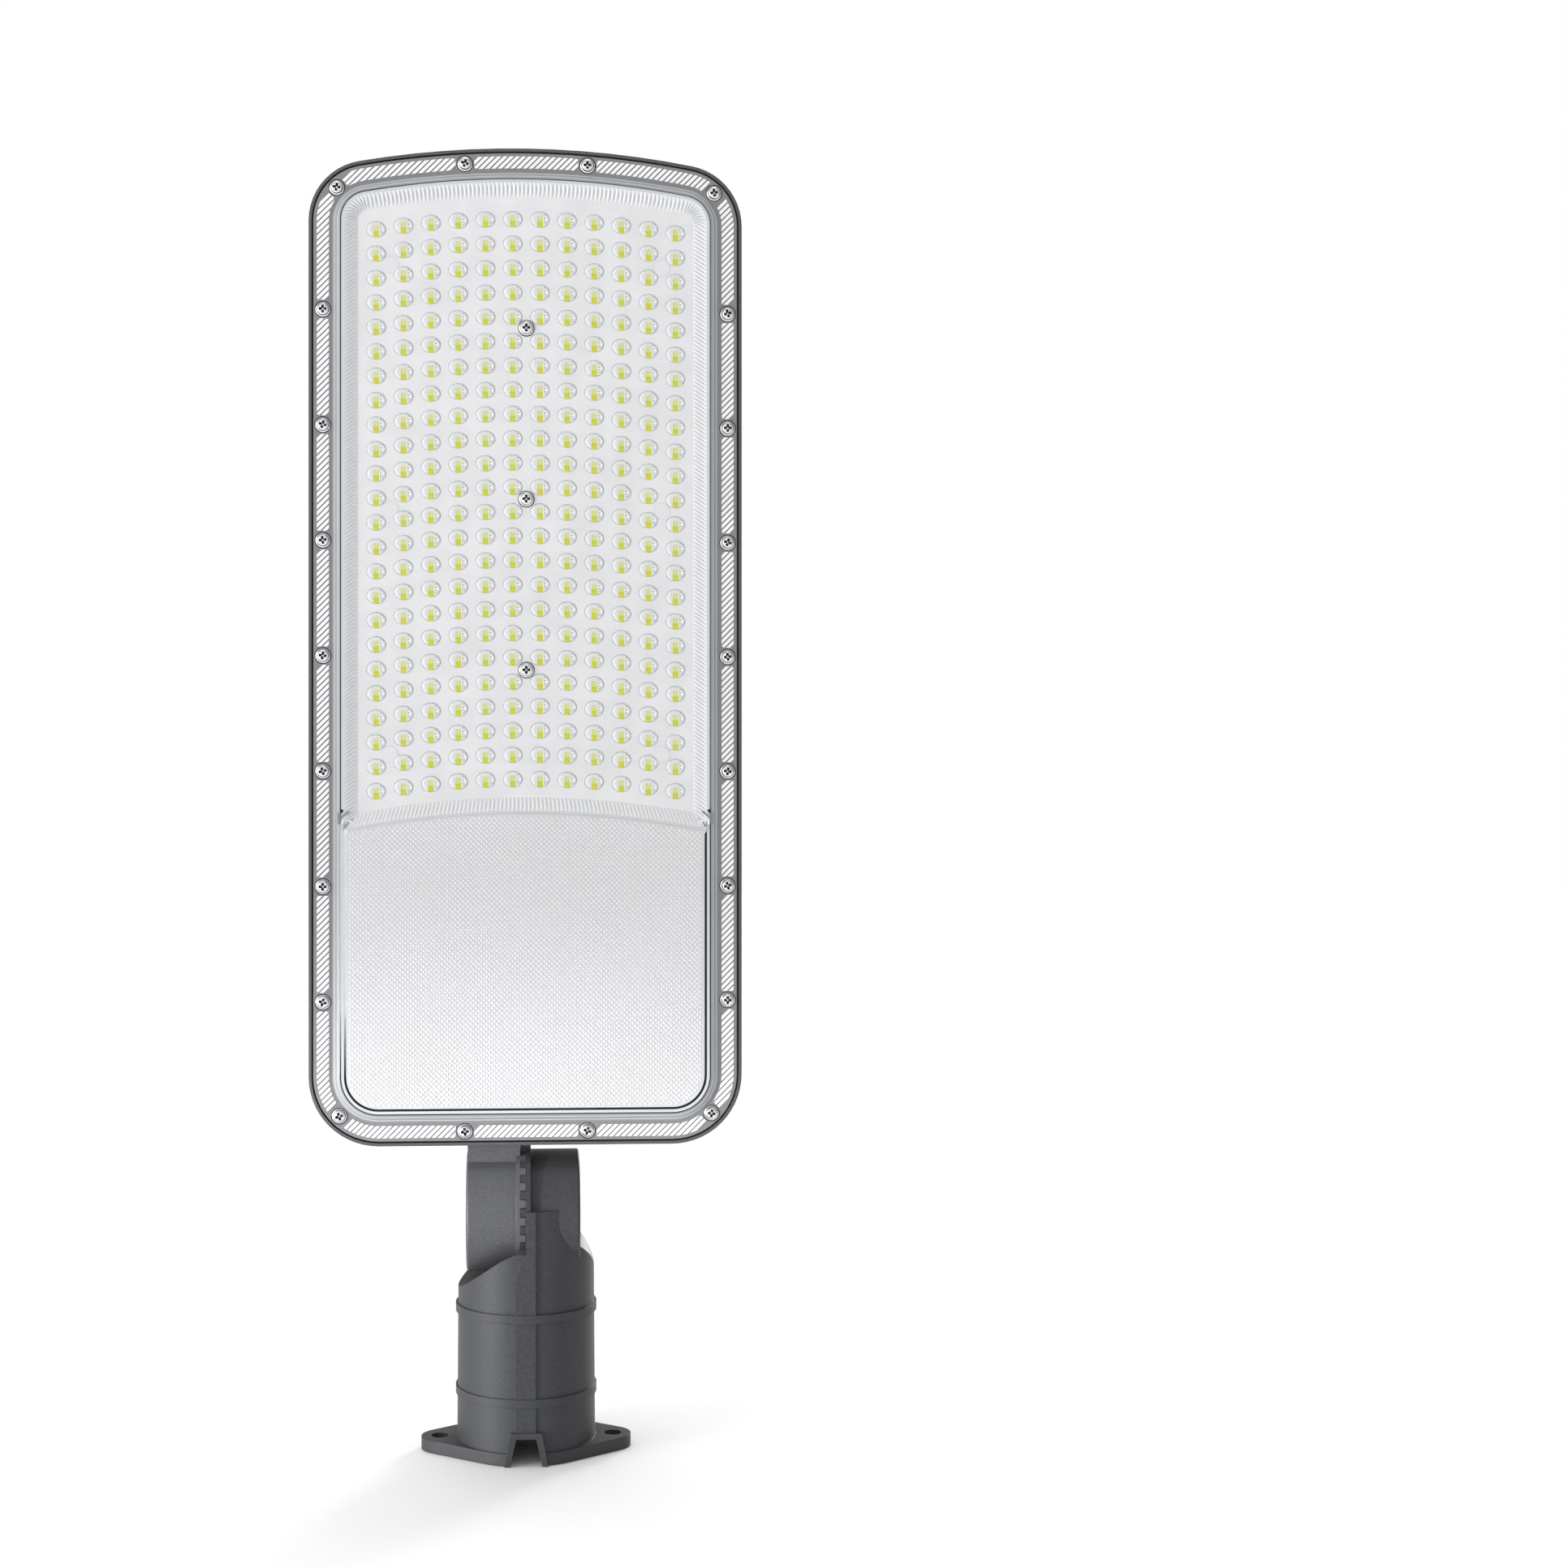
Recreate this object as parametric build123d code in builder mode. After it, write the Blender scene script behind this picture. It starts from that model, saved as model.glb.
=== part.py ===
from build123d import *
import os
from math import asin, cos, degrees, radians, sin, sqrt

# Street lamp head on a serrated tilt knuckle and a pole adaptor, standing upright.
# +Z runs up the lamp, -Y is the lit side and +X is to the right seen from the lit side.
# The origin is on the pole socket's axis, in the underside of the adaptor's flange.
# All sizes are in millimetres.

# ---------------------------------------------------------------- driving sizes

# head outline, its lower edge measured from the pivot
HEAD_WIDTH = 220.0
HEAD_LENGTH = 507.0
HEAD_RISE = 36.3
HEAD_TOP_ARC_R = 470.0
HEAD_TOP_CORNER_R = 31.0
HEAD_BOTTOM_CORNER_R = 35.5

# cast head housing
RIM_BACK_Y = -8.0
RIM_THICKNESS = 12.0
RIM_BACK_FILLET = 3.0
RIM_FRONT_SLOPE = (5.0, 0.8)
LIP_WIDTH = 1.6
LIP_HEIGHT = 5.0
MARGIN = 14.5
CHANNEL_DEPTH = 3.0
CHANNEL_END_SLOPE = 3.0
FIN_RISE = 6.5
RAISED_SLOPE = 0.67
FIN_PITCH = 11.8
FINS_PER_SIDE = 4
FIN_FIRST_X = 15.6
FIN_TOP_WIDTH = 1.3
FIN_ROOT_WIDTH = 2.5
CENTRE_FIN_WIDTH = 8.9
BLOCK_WIDTH = 34.0

# battery bay, the raised box on the back
BAY_LENGTH = 160.8
BAY_SIDE_MARGIN = 15.2
BAY_LOW_MARGIN = 13.9
BAY_RISE = 23.7
BAY_LOW_R = 20.0
BAY_HIGH_R = 5.0
BAY_SIDE_DRAFT = 3.4
BAY_LOW_DRAFT = 3.0
BAY_HIGH_DRAFT = 7.4
BAY_EDGE = 2.5
BAY_HIGH_EDGE = 6.8
BAY_WALL = 3.2
BAY_FLOOR_EDGE = 0.8
LABEL_RECESS = (76.0, 40.0, 2.5, 0.4)
LABEL_RECESS_RISE = 44.8
SENSOR_PAD_R = 34.6
SENSOR_PAD_DROP = 12.0
SENSOR_PAD_RISE = 2.4
SENSOR_PAD_EDGE = 0.8

# tilt knuckle
PIVOT_Z = 122.0
DRUM_R = 31.0
SERRATION_RISE = 2.75
SERRATION_WIDTH = 10.25
TOOTH_COUNT = 24
TOOTH_HEIGHT = 2.85
TOOTH_TIP_GAP = 0.15
TOOTH_FLANK_GAP = 0.35
DISC_THICKNESS = 2.3
HEAD_DRUM_WIDTH = 25.2
ADAPTOR_DRUM_WIDTH = 25.0
DRUM_END_FILLET = 1.5
ARM_OUTER_INSET = 0.6
ARM_CLEARANCE = 0.6
HEAD_SWEEP_GAP = 2.0
WIRE_CHAMBER_R = 20.0
WIRE_HUB_R = 9.5
HEAD_CHAMBER_DEPTH = 10.0
ADAPTOR_CHAMBER_DEPTH = 12.0
WIRE_HOLE_R = 4.2

# pivot bolt, M12 socket head, with its washers and nut
PIVOT_BOLT_R = 6.0
PIVOT_RUN = 0.1
PIVOT_BOLT_REACH = 2.0
PIVOT_HEAD_R = 9.0
PIVOT_HEAD_HEIGHT = 9.0
PIVOT_HEAD_EDGE = 0.8
PIVOT_SOCKET_FLATS = 10.0
PIVOT_SOCKET_DEPTH = 6.0
PIVOT_SEAT_DEPTH = 15.0
WASHER_R = 12.0
WASHER_SIDE_GAP = 1.0
WASHER_THICKNESS = 2.5
WASHER_RUN = 0.4
SPRING_WASHER_R = 10.4
SPRING_WASHER_THICKNESS = 2.6
SPRING_WASHER_SPLIT = 1.2
NUT_FLATS = 18.0
NUT_HEIGHT = 10.0
NUT_RECESS = 2.0

# pole adaptor
POLE_BORE_R = 31.0
POLE_BORE_DEPTH = 80.0
TUBE_WALL = 4.0
TUBE_DRAFT = 0.6
FLANGE_THICKNESS = 6.0
FLANGE_HOLE_SPACING = 89.0
FLANGE_HOLE_R = 4.5
FLANGE_TIP_R = 12.0
FLANGE_TIP_SHIFT = 2.5
FLANGE_WAIST_RISE = 1.8
BAND_RISE = 1.3
BAND_HEIGHT = 4.3
BAND_LOW_Z = 31.0
BAND_HIGH_Z = 73.2
RIB_RISE = 0.8
RIB_LEFT_X = -5.8
RIB_RIGHT_X = 4.9
RIB_CURVE_DROP = 13.7
RIB_CURVE_BULGE = 0.7
SHOULDER_DROP = 28.0
SHOULDER_TOP_DROP = 15.0
SHOULDER_HOLLOW = 1.4
NECK_RISE = 5.0
NECK_TOP_WIDTH = 16.0
NECK_BULGE = 3.0
NOTCH_TOP_WIDTH = 10.0
NOTCH_FOOT_WIDTH = 16.0
NOTCH_HEIGHT = 13.5
NOTCH_LIP = 3.0
NOTCH_LIP_RISE = 0.6

# clamp screws, M10 flange head with hexagon socket
CLAMP_R = 5.0
CLAMP_BACKED_OFF = 4.0
CLAMP_TIP_GAP = 0.1
CLAMP_BOSS_RISE = 0.2
CLAMP_BOSS_EDGE = 0.4
CLAMP_FLANGE_R = 8.2
CLAMP_FLANGE_THICKNESS = 1.6
CLAMP_HEAD_R = 6.0
CLAMP_HEAD_HEIGHT = 5.5
CLAMP_SOCKET_FLATS = 7.6
CLAMP_SOCKET_DEPTH = 4.5

# front cover and its gasket
COVER_GAP = 0.8
COVER_THICKNESS = 3.0
COVER_HATCH_INNER = 9.7
COVER_POCKET_INSET = 12.7
RIDGE_SLOPE_WIDTH = 4.1
RIDGE_CREST_WIDTH = 1.9
RIDGE_HEIGHT = 3.2
FLUTE_WIDTH = 7.0
LENS_THICKNESS = 2.0
FIELD_LENGTH = 319.0
FIELD_LOW_CORNER_R = 4.3
PANEL_WALL = 2.5
GASKET_THICKNESS = 1.5
GASKET_EDGE_GAP = 0.6
GASKET_WIDTH = 10.0
COVER_SCREW_INSET = 7.25
COVER_SCREW_SEAT_GAP = 1.0
COVER_SCREW_SEAT_DEPTH = 1.0
SIDE_SCREWS = 7
SIDE_SCREW_PITCH = 58.45
SIDE_SCREW_RISE = 73.3
END_SCREW_X = 31.1

# screws, M4 pan head
SCREW_R = 2.0
SCREW_HEAD_R = 3.9
SCREW_HEAD_HEIGHT = 2.4
SCREW_HEAD_EDGE = 0.7
SCREW_DEPTH = 5.5
SCREW_RUN = 0.05
SCREW_HOLE_GAP = 0.3
SCREW_CLEARANCE = 0.2
LENS_SCREWS_COUNT = 3
LENS_SCREW_DEPTH = 9.0
LENS_SCREW_PITCH = 86.85
LENS_SCREW_RISE = 71.7

# light engine
PAD_THICKNESS = 0.5
BOARD_THICKNESS = 1.6
BOARD_INSET = 17.0
LED_COLUMNS = 12
LED_ROWS = 24
LED_COLUMN_PITCH = 13.8
LED_ROW_PITCH = 12.37
LED_TOP_DROP = 37.3
LED_SIZE = (3.0, 5.6, 0.8)
LED_LENS_GAP = 0.3

# battery bay fittings
BAY_PLATE_THICKNESS = 1.0
BAY_PLATE_EDGE_GAP = 0.8
BAY_PLATE_TOP_GAP = 3.0
BAY_SCREW_R = 1.5
BAY_SCREW_HEAD_R = 2.6
BAY_SCREW_HEAD_HEIGHT = 1.7
BAY_SCREW_DEPTH = 5.0
CELL_R = 13.0
CELL_LENGTH = 65.0
CELL_GAP = 1.2
CELL_SIDE_GAP = 1.0
CELL_TOP_DROP = 20.0
CELL_FRONT_GAP = 0.4
TRAY_DEPTH = 10.5
TRAY_SIDE = 2.0
TRAY_RUN = 0.15
LINK_THICKNESS = 0.3
LINK_WIDTH = 7.0
CONTROLLER_HEIGHT = 58.0
CONTROLLER_THICKNESS = 1.6
CONTROLLER_WALL_GAP = 12.2
CONTROLLER_RISE = 40.8
STANDOFF_HEIGHT = 5.0
STANDOFF_R = 3.2
STANDOFF_EDGE_GAP = 1.0
CHOKE_R = (11.0, 4.5)
CHOKE_HEIGHT = 9.0
CHOKE_PLACE = (26.0, 0.0)
CAPACITOR_R = 5.0
CAPACITOR_HEIGHT = 13.0
CAPACITOR_PITCH = 11.5
CAPACITOR_COUNT = 3
CAPACITOR_PLACE = (54.0, -5.8)
HEATSINK_SIZE = (46.0, 12.0, 12.0)
HEATSINK_SLOT = 2.4
HEATSINK_SLOTS = 9
HEATSINK_BASE = 3.6
HEATSINK_PLACE = (58.0, 14.0)
CHIP_SIZE = (7.0, 9.0, 1.6)
CHIP_END_GAP = 12.0
CHIP_DROP = 18.0
TERMINAL_SIZE = (46.0, 17.0, 16.0)
TERMINAL_WAYS = 5
TERMINAL_WALL_GAP = 3.2
TERMINAL_BOARD_GAP = 7.0
TERMINAL_RISE = 23.8
TERMINAL_SLOPE = 4.0
TERMINAL_HOLE_R = 2.2
TERMINAL_HOLE_DEPTH = 6.0
GROMMET_SEAT_RISE = 7.3
GROMMET_FLANGE_R = 6.5
GROMMET_FLANGE_THICKNESS = 2.0
GROMMET_BORE_R = 2.6
GROMMET_LENGTH = 6.0
GROMMET_MOUTH = 1.0
FIT = 0.1

# ---------------------------------------------------------------- places worked out from them

# heights
HEAD_BOTTOM_Z = PIVOT_Z + HEAD_RISE
HEAD_TOP_Z = HEAD_BOTTOM_Z + HEAD_LENGTH
BAY_LOW_Z = HEAD_BOTTOM_Z + BAY_LOW_MARGIN
BAY_HIGH_Z = BAY_LOW_Z + BAY_LENGTH
SENSOR_PAD_Z = BAY_HIGH_Z - SENSOR_PAD_DROP
LABEL_RECESS_Z = BAY_LOW_Z + LABEL_RECESS_RISE
SHOULDER_Z = PIVOT_Z - SHOULDER_DROP
SHOULDER_TOP_Z = PIVOT_Z - SHOULDER_TOP_DROP
NECK_TOP_Z = PIVOT_Z + NECK_RISE

# depths, from the back of the rim to the front of the cover
SEAT_Y = RIM_BACK_Y - RIM_THICKNESS + LIP_HEIGHT
RIM_FRONT_Y = RIM_BACK_Y - RIM_THICKNESS
CHANNEL_Y = RIM_BACK_Y - CHANNEL_DEPTH
FIN_TOP_Y = RIM_BACK_Y + FIN_RISE
BAY_BACK_Y = RIM_BACK_Y + BAY_RISE
BAY_SHOULDER_Y = BAY_BACK_Y - BAY_EDGE
BAY_FLOOR_Y = BAY_BACK_Y - BAY_WALL
SENSOR_PAD_BACK_Y = BAY_BACK_Y + SENSOR_PAD_RISE
COVER_BACK_Y = SEAT_Y - GASKET_THICKNESS
COVER_FRONT_Y = COVER_BACK_Y - COVER_THICKNESS
RIDGE_Y = COVER_FRONT_Y - RIDGE_HEIGHT
PAD_FRONT_Y = SEAT_Y - PAD_THICKNESS
BOARD_FRONT_Y = PAD_FRONT_Y - BOARD_THICKNESS
LENS_BACK_Y = BOARD_FRONT_Y - LED_SIZE[2] - LED_LENS_GAP
LENS_FRONT_Y = LENS_BACK_Y - LENS_THICKNESS
BAY_PLATE_FRONT_Y = SEAT_Y - BAY_PLATE_THICKNESS
BOARD_SEAT_Y = BAY_FLOOR_Y - STANDOFF_HEIGHT
CONTROLLER_FRONT_Y = BOARD_SEAT_Y - CONTROLLER_THICKNESS

# insets from the head's outline
BAY_HALF_WIDTH = HEAD_WIDTH / 2 - BAY_SIDE_MARGIN
COVER_INSET = LIP_WIDTH + COVER_GAP
RIDGE_INSET = COVER_INSET + COVER_HATCH_INNER
CREST_INSET = RIDGE_INSET + RIDGE_SLOPE_WIDTH
WINDOW_INSET = CREST_INSET + RIDGE_CREST_WIDTH
GASKET_INSET = LIP_WIDTH + GASKET_EDGE_GAP
BAY_PLATE_INSET = GASKET_INSET + GASKET_WIDTH + BAY_PLATE_EDGE_GAP
FIELD_SILL_Z = HEAD_TOP_Z - WINDOW_INSET - FIELD_LENGTH
BOARD_SILL_Z = FIELD_SILL_Z + BOARD_INSET - WINDOW_INSET

# battery and controller
BAY_ROOM = BAY_HALF_WIDTH - BAY_SIDE_DRAFT - BAY_EDGE * BAY_FLOOR_EDGE - BAY_WALL
CELL_Y = SEAT_Y + CELL_FRONT_GAP + CELL_R
CELL_PITCH = 2 * CELL_R + CELL_GAP
CELL_COUNT = int(2 * (BAY_ROOM - TRAY_SIDE - CELL_SIDE_GAP) / CELL_PITCH)
CELL_LOW_Z = BAY_HIGH_Z - CELL_TOP_DROP - CELL_LENGTH
CELL_PLACES = [((cell - (CELL_COUNT - 1) / 2) * CELL_PITCH, CELL_Y) for cell in range(CELL_COUNT)]
TRAY_LOW_Z = CELL_LOW_Z - LINK_THICKNESS - TRAY_SIDE
TRAY_LENGTH = CELL_LENGTH + 2 * (LINK_THICKNESS + TRAY_SIDE)
TERMINAL_X = BAY_ROOM - TERMINAL_WALL_GAP - TERMINAL_SIZE[0] / 2
CONTROLLER_LEFT_X = CONTROLLER_WALL_GAP - BAY_ROOM
CONTROLLER_LENGTH = TERMINAL_X - TERMINAL_SIZE[0] / 2 - TERMINAL_BOARD_GAP - CONTROLLER_LEFT_X
CONTROLLER_Z = BAY_LOW_Z + CONTROLLER_RISE
TERMINAL_Z = BAY_LOW_Z + TERMINAL_RISE
GROMMET_SEAT_Z = BAY_LOW_Z + GROMMET_SEAT_RISE

# knuckle, along the pivot
SERRATION_R = DRUM_R + SERRATION_RISE
SERRATION_BORE_R = SERRATION_R - SERRATION_WIDTH
TEETH_FACE_X = -(TOOTH_HEIGHT + TOOTH_TIP_GAP)
HEAD_DISC_X = TEETH_FACE_X - DISC_THICKNESS
HEAD_DRUM_X = HEAD_DISC_X - HEAD_DRUM_WIDTH
ADAPTOR_DRUM_X = DISC_THICKNESS + ADAPTOR_DRUM_WIDTH
ARM_LEFT_X = HEAD_DRUM_X + ARM_OUTER_INSET
ARM_RIGHT_X = TEETH_FACE_X - FIT
ARM_MIDDLE_X = (ARM_LEFT_X + ARM_RIGHT_X) / 2
HEAD_WIRE_X = TEETH_FACE_X - HEAD_CHAMBER_DEPTH / 2
HEAD_SWEEP_R = HEAD_RISE + HEAD_SWEEP_GAP
SADDLE_Z = PIVOT_Z - BAY_BACK_Y - ARM_CLEARANCE
WASHER_X = HEAD_DRUM_X + PIVOT_SEAT_DEPTH - WASHER_THICKNESS
SPRING_WASHER_X = WASHER_X - SPRING_WASHER_THICKNESS
NUT_X = ADAPTOR_DRUM_X - NUT_RECESS - NUT_HEIGHT
PIVOT_BOLT_END_X = NUT_X + NUT_HEIGHT + PIVOT_BOLT_REACH

# pole adaptor
TUBE_R = POLE_BORE_R + TUBE_WALL
BAND_R = TUBE_R + BAND_RISE
RIB_FRONT_Y = TUBE_R + RIB_RISE
CLAMP_BOSS_Y = BAND_R + CLAMP_BOSS_RISE
FLANGE_TIP_CENTRE_X = FLANGE_HOLE_SPACING / 2 - FLANGE_TIP_SHIFT


# ---------------------------------------------------------------- planes and profiles


def at_depth(y):
    """The plane at depth y, seen from the lit side: x to the right, y up, facing -Y."""
    return Plane.XZ.offset(-y)


def at_pivot(x):
    """The plane across the pivot axis at x, its origin on the axis, facing +X."""
    return Plane(origin=(x, 0, PIVOT_Z), x_dir=(0, 1, 0), z_dir=(1, 0, 0))


def arc_drop(x, radius=HEAD_TOP_ARC_R):
    """How far an arc of that radius has fallen at x from its crown."""
    return radius - sqrt(radius**2 - x**2)


def head_outline(inset):
    """The head's outline moved inwards by inset: straight sides, its top edge a flat arc."""
    half = HEAD_WIDTH / 2 - inset
    low = HEAD_BOTTOM_Z + inset
    crown = HEAD_TOP_Z - inset
    shoulder = crown - arc_drop(half, HEAD_TOP_ARC_R - inset)
    with BuildSketch(mode=Mode.PRIVATE) as outline:
        with BuildLine():
            Polyline((-half, shoulder), (-half, low), (half, low), (half, shoulder))
            ThreePointArc((half, shoulder), (0, crown), (-half, shoulder))
        make_face()
        fillet(outline.vertices().group_by(Axis.Y)[0], HEAD_BOTTOM_CORNER_R - inset)
        fillet(outline.vertices().group_by(Axis.Y)[-1], HEAD_TOP_CORNER_R - inset)
    return outline.sketch


def field_outline(inset):
    """The LED field: the head's outline inside the ridge, closed below by a matching arc."""
    half = HEAD_WIDTH / 2 - inset
    crown = HEAD_TOP_Z - inset
    sill = FIELD_SILL_Z + inset - WINDOW_INSET
    drop = arc_drop(half)
    with BuildSketch(mode=Mode.PRIVATE) as outline:
        with BuildLine():
            Line((-half, sill - drop), (-half, crown - drop))
            ThreePointArc((-half, crown - drop), (0, crown), (half, crown - drop))
            Line((half, crown - drop), (half, sill - drop))
            ThreePointArc((half, sill - drop), (0, sill), (-half, sill - drop))
        make_face()
        fillet(outline.vertices().group_by(Axis.Y)[-1], HEAD_TOP_CORNER_R - WINDOW_INSET)
        fillet(outline.vertices().group_by(Axis.Y)[0], FIELD_LOW_CORNER_R)
    return outline.sketch


def panel_outline(inset, sill):
    """The lower window: the head's outline below an arc whose crown is at sill."""
    half = HEAD_WIDTH / 2 - inset
    low = HEAD_BOTTOM_Z + inset
    high = sill - arc_drop(half)
    with BuildSketch(mode=Mode.PRIVATE) as outline:
        with BuildLine():
            Polyline((-half, high), (-half, low), (half, low), (half, high))
            ThreePointArc((half, high), (0, sill), (-half, high))
        make_face()
        fillet(outline.vertices().group_by(Axis.Y)[0], HEAD_BOTTOM_CORNER_R - inset)
    return outline.sketch


def bay_outline(half, low, high, low_r=BAY_LOW_R, high_r=BAY_HIGH_R):
    """A rectangle from low to high with one radius for its two lower and one for its upper corners."""
    with BuildSketch(mode=Mode.PRIVATE) as outline:
        with BuildLine():
            Polyline((-half, low), (half, low), (half, high), (-half, high), close=True)
        make_face()
        fillet(outline.vertices().group_by(Axis.Y)[0], low_r)
        fillet(outline.vertices().group_by(Axis.Y)[-1], high_r)
    return outline.sketch


def bay_section(draft, edge, inset):
    """The bay's outline with draft of its walls from 0 at the root to 1, then its edge slope."""
    return bay_outline(
        BAY_HALF_WIDTH - BAY_SIDE_DRAFT * draft - BAY_EDGE * edge - inset,
        BAY_LOW_Z + BAY_LOW_DRAFT * draft + BAY_EDGE * edge + inset,
        BAY_HIGH_Z - BAY_HIGH_DRAFT * draft - BAY_HIGH_EDGE * edge - inset,
        BAY_LOW_R - BAY_EDGE * edge - inset,
    )


def tooth_wedges(phase):
    """Radial wedges, one per tooth, that a ring trims to the teeth of one serrated face."""
    half = 90 / TOOTH_COUNT - degrees(asin(TOOTH_FLANK_GAP / 2 / SERRATION_R))
    near = SERRATION_BORE_R / 2
    far = SERRATION_R * 2
    across, along = sin(radians(half)), cos(radians(half))
    with PolarLocations(0, TOOTH_COUNT, start_angle=phase):
        Polygon(
            (near * along, -near * across),
            (far * along, -far * across),
            (far * along, far * across),
            (near * along, near * across),
            align=None,
        )
    Circle(SERRATION_R, mode=Mode.INTERSECT)


def notch_profile(border):
    """A cable notch in the XZ plane, standing on the flange's underside, with a border round it."""
    foot = NOTCH_FOOT_WIDTH / 2 + border
    top = NOTCH_TOP_WIDTH / 2 + border
    high = NOTCH_HEIGHT + border
    Polygon((-foot, 0), (foot, 0), (top, high), (-top, high), align=None)


def hex_radius(flats):
    """The corner radius of a hexagon from its width across flats."""
    return flats / sqrt(3)


def cover_screw_points():
    """Where the cover's screws stand, as (x, z), round the rim."""
    side_x = HEAD_WIDTH / 2 - COVER_SCREW_INSET
    points = []
    for side in (-1, 1):
        for step in range(SIDE_SCREWS):
            step_z = HEAD_BOTTOM_Z + SIDE_SCREW_RISE + step * SIDE_SCREW_PITCH
            points.append((side * side_x, step_z))
        low_arm = (HEAD_BOTTOM_CORNER_R - COVER_SCREW_INSET) * sin(radians(45))
        low_centre = HEAD_WIDTH / 2 - HEAD_BOTTOM_CORNER_R
        low_z = HEAD_BOTTOM_Z + HEAD_BOTTOM_CORNER_R
        points.append((side * (low_centre + low_arm), low_z - low_arm))
        top_x = HEAD_WIDTH / 2 - HEAD_TOP_CORNER_R
        top_z = HEAD_TOP_Z - HEAD_TOP_ARC_R + sqrt((HEAD_TOP_ARC_R - HEAD_TOP_CORNER_R) ** 2 - top_x**2)
        top_arm = (HEAD_TOP_CORNER_R - COVER_SCREW_INSET) * sin(radians(45))
        points.append((side * (top_x + top_arm), top_z + top_arm))
        points.append((side * END_SCREW_X, HEAD_BOTTOM_Z + COVER_SCREW_INSET))
        crown = HEAD_TOP_Z - COVER_SCREW_INSET
        points.append((side * END_SCREW_X, crown - arc_drop(END_SCREW_X, HEAD_TOP_ARC_R - COVER_SCREW_INSET)))
    return points


def lens_screw_points():
    """Where the screws on the centre line stand, as (x, z)."""
    low = FIELD_SILL_Z + LENS_SCREW_RISE
    return [(0, low + step * LENS_SCREW_PITCH) for step in range(LENS_SCREWS_COUNT)]


def led_points():
    """Where the LEDs sit, as (x, z): straight columns, rows that follow the head's top arc."""
    points = []
    for row in range(LED_ROWS):
        for column in range(LED_COLUMNS):
            x = (column - (LED_COLUMNS - 1) / 2) * LED_COLUMN_PITCH
            points.append((x, HEAD_TOP_Z - LED_TOP_DROP - row * LED_ROW_PITCH - arc_drop(x)))
    return points


def bay_plate_points():
    """Where the bay plate's screws stand, as (x, z)."""
    plate_half = HEAD_WIDTH / 2 - BAY_PLATE_INSET
    x = (plate_half + BAY_HALF_WIDTH - BAY_WALL) / 2
    low = HEAD_BOTTOM_Z + HEAD_BOTTOM_CORNER_R
    high = BOARD_SILL_Z - BAY_PLATE_TOP_GAP - arc_drop(plate_half) - 2 * BAY_SCREW_HEAD_R
    return [(side * x, low + step * (high - low) / 2) for side in (-1, 1) for step in range(3)]


def on_board(place):
    """A place given from the middle of the controller board's left end, as (x, z)."""
    return (CONTROLLER_LEFT_X + place[0], CONTROLLER_Z + place[1])


def standoff_points():
    """Where the controller board's standoffs stand, as (x, z)."""
    edge = STANDOFF_R + STANDOFF_EDGE_GAP
    half_z = CONTROLLER_HEIGHT / 2 - edge
    return [on_board((x, side * half_z)) for x in (edge, CONTROLLER_LENGTH - edge) for side in (-1, 1)]


def pan_screws(points, seat_y, head, shank):
    """Pan-head screws at the points, heads standing on seat_y: head (r, height), shank (r, end y)."""
    with BuildPart() as screws:
        with BuildSketch(at_depth(seat_y)):
            with Locations(*points):
                Circle(head[0])
        extrude(amount=head[1])
        chamfer(screws.faces().group_by(Axis.Y)[0].edges(), SCREW_HEAD_EDGE)
        with BuildSketch(at_depth(seat_y)):
            with Locations(*points):
                Circle(shank[0])
        extrude(amount=seat_y - shank[1])
    return screws


COVER_SCREWS = cover_screw_points()
LENS_SCREWS = lens_screw_points()
PLATE_SCREWS = bay_plate_points()
STANDOFFS = standoff_points()

# ---------------------------------------------------------------- head housing

with BuildPart() as raised_limit:
    for depth in (CHANNEL_Y, FIN_TOP_Y):
        with BuildSketch(at_depth(depth)):
            add(head_outline(MARGIN + RAISED_SLOPE * (depth - RIM_BACK_Y)))
    loft()

with BuildPart() as raised:
    fin_height = FIN_TOP_Y - CHANNEL_Y
    with BuildSketch(Plane.XY.offset(BAY_HIGH_Z - BAY_HIGH_DRAFT)):
        for side in (-1, 1):
            for fin in range(FINS_PER_SIDE):
                with Locations((side * (FIN_FIRST_X + fin * FIN_PITCH), CHANNEL_Y)):
                    Polygon(
                        (-FIN_ROOT_WIDTH / 2, 0),
                        (FIN_ROOT_WIDTH / 2, 0),
                        (FIN_TOP_WIDTH / 2, fin_height),
                        (-FIN_TOP_WIDTH / 2, fin_height),
                        align=None,
                    )
            with Locations((side * (BAY_HALF_WIDTH - BLOCK_WIDTH / 2), CHANNEL_Y + fin_height / 2)):
                Rectangle(BLOCK_WIDTH, fin_height)
        with Locations((0, CHANNEL_Y + fin_height / 2)):
            Rectangle(CENTRE_FIN_WIDTH, fin_height)
    extrude(amount=HEAD_TOP_Z - BAY_HIGH_Z)
    add(raised_limit.part, mode=Mode.INTERSECT)

with BuildPart() as channels:
    for depth, inset in ((RIM_BACK_Y, MARGIN), (CHANNEL_Y, MARGIN + CHANNEL_END_SLOPE)):
        with BuildSketch(at_depth(depth)):
            add(head_outline(inset))
            with Locations((0, (BAY_HIGH_Z + HEAD_TOP_Z) / 2)):
                Rectangle(
                    2 * (BAY_HALF_WIDTH - BLOCK_WIDTH),
                    HEAD_TOP_Z - BAY_HIGH_Z + 2 * BAY_WALL,
                    mode=Mode.INTERSECT,
                )
    loft()

with BuildPart() as bay_root:
    for depth, draft in ((CHANNEL_Y, 0), (BAY_SHOULDER_Y, 1)):
        with BuildSketch(at_depth(depth)):
            add(bay_section(draft, 0, 0))
    loft(ruled=True)

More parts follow.
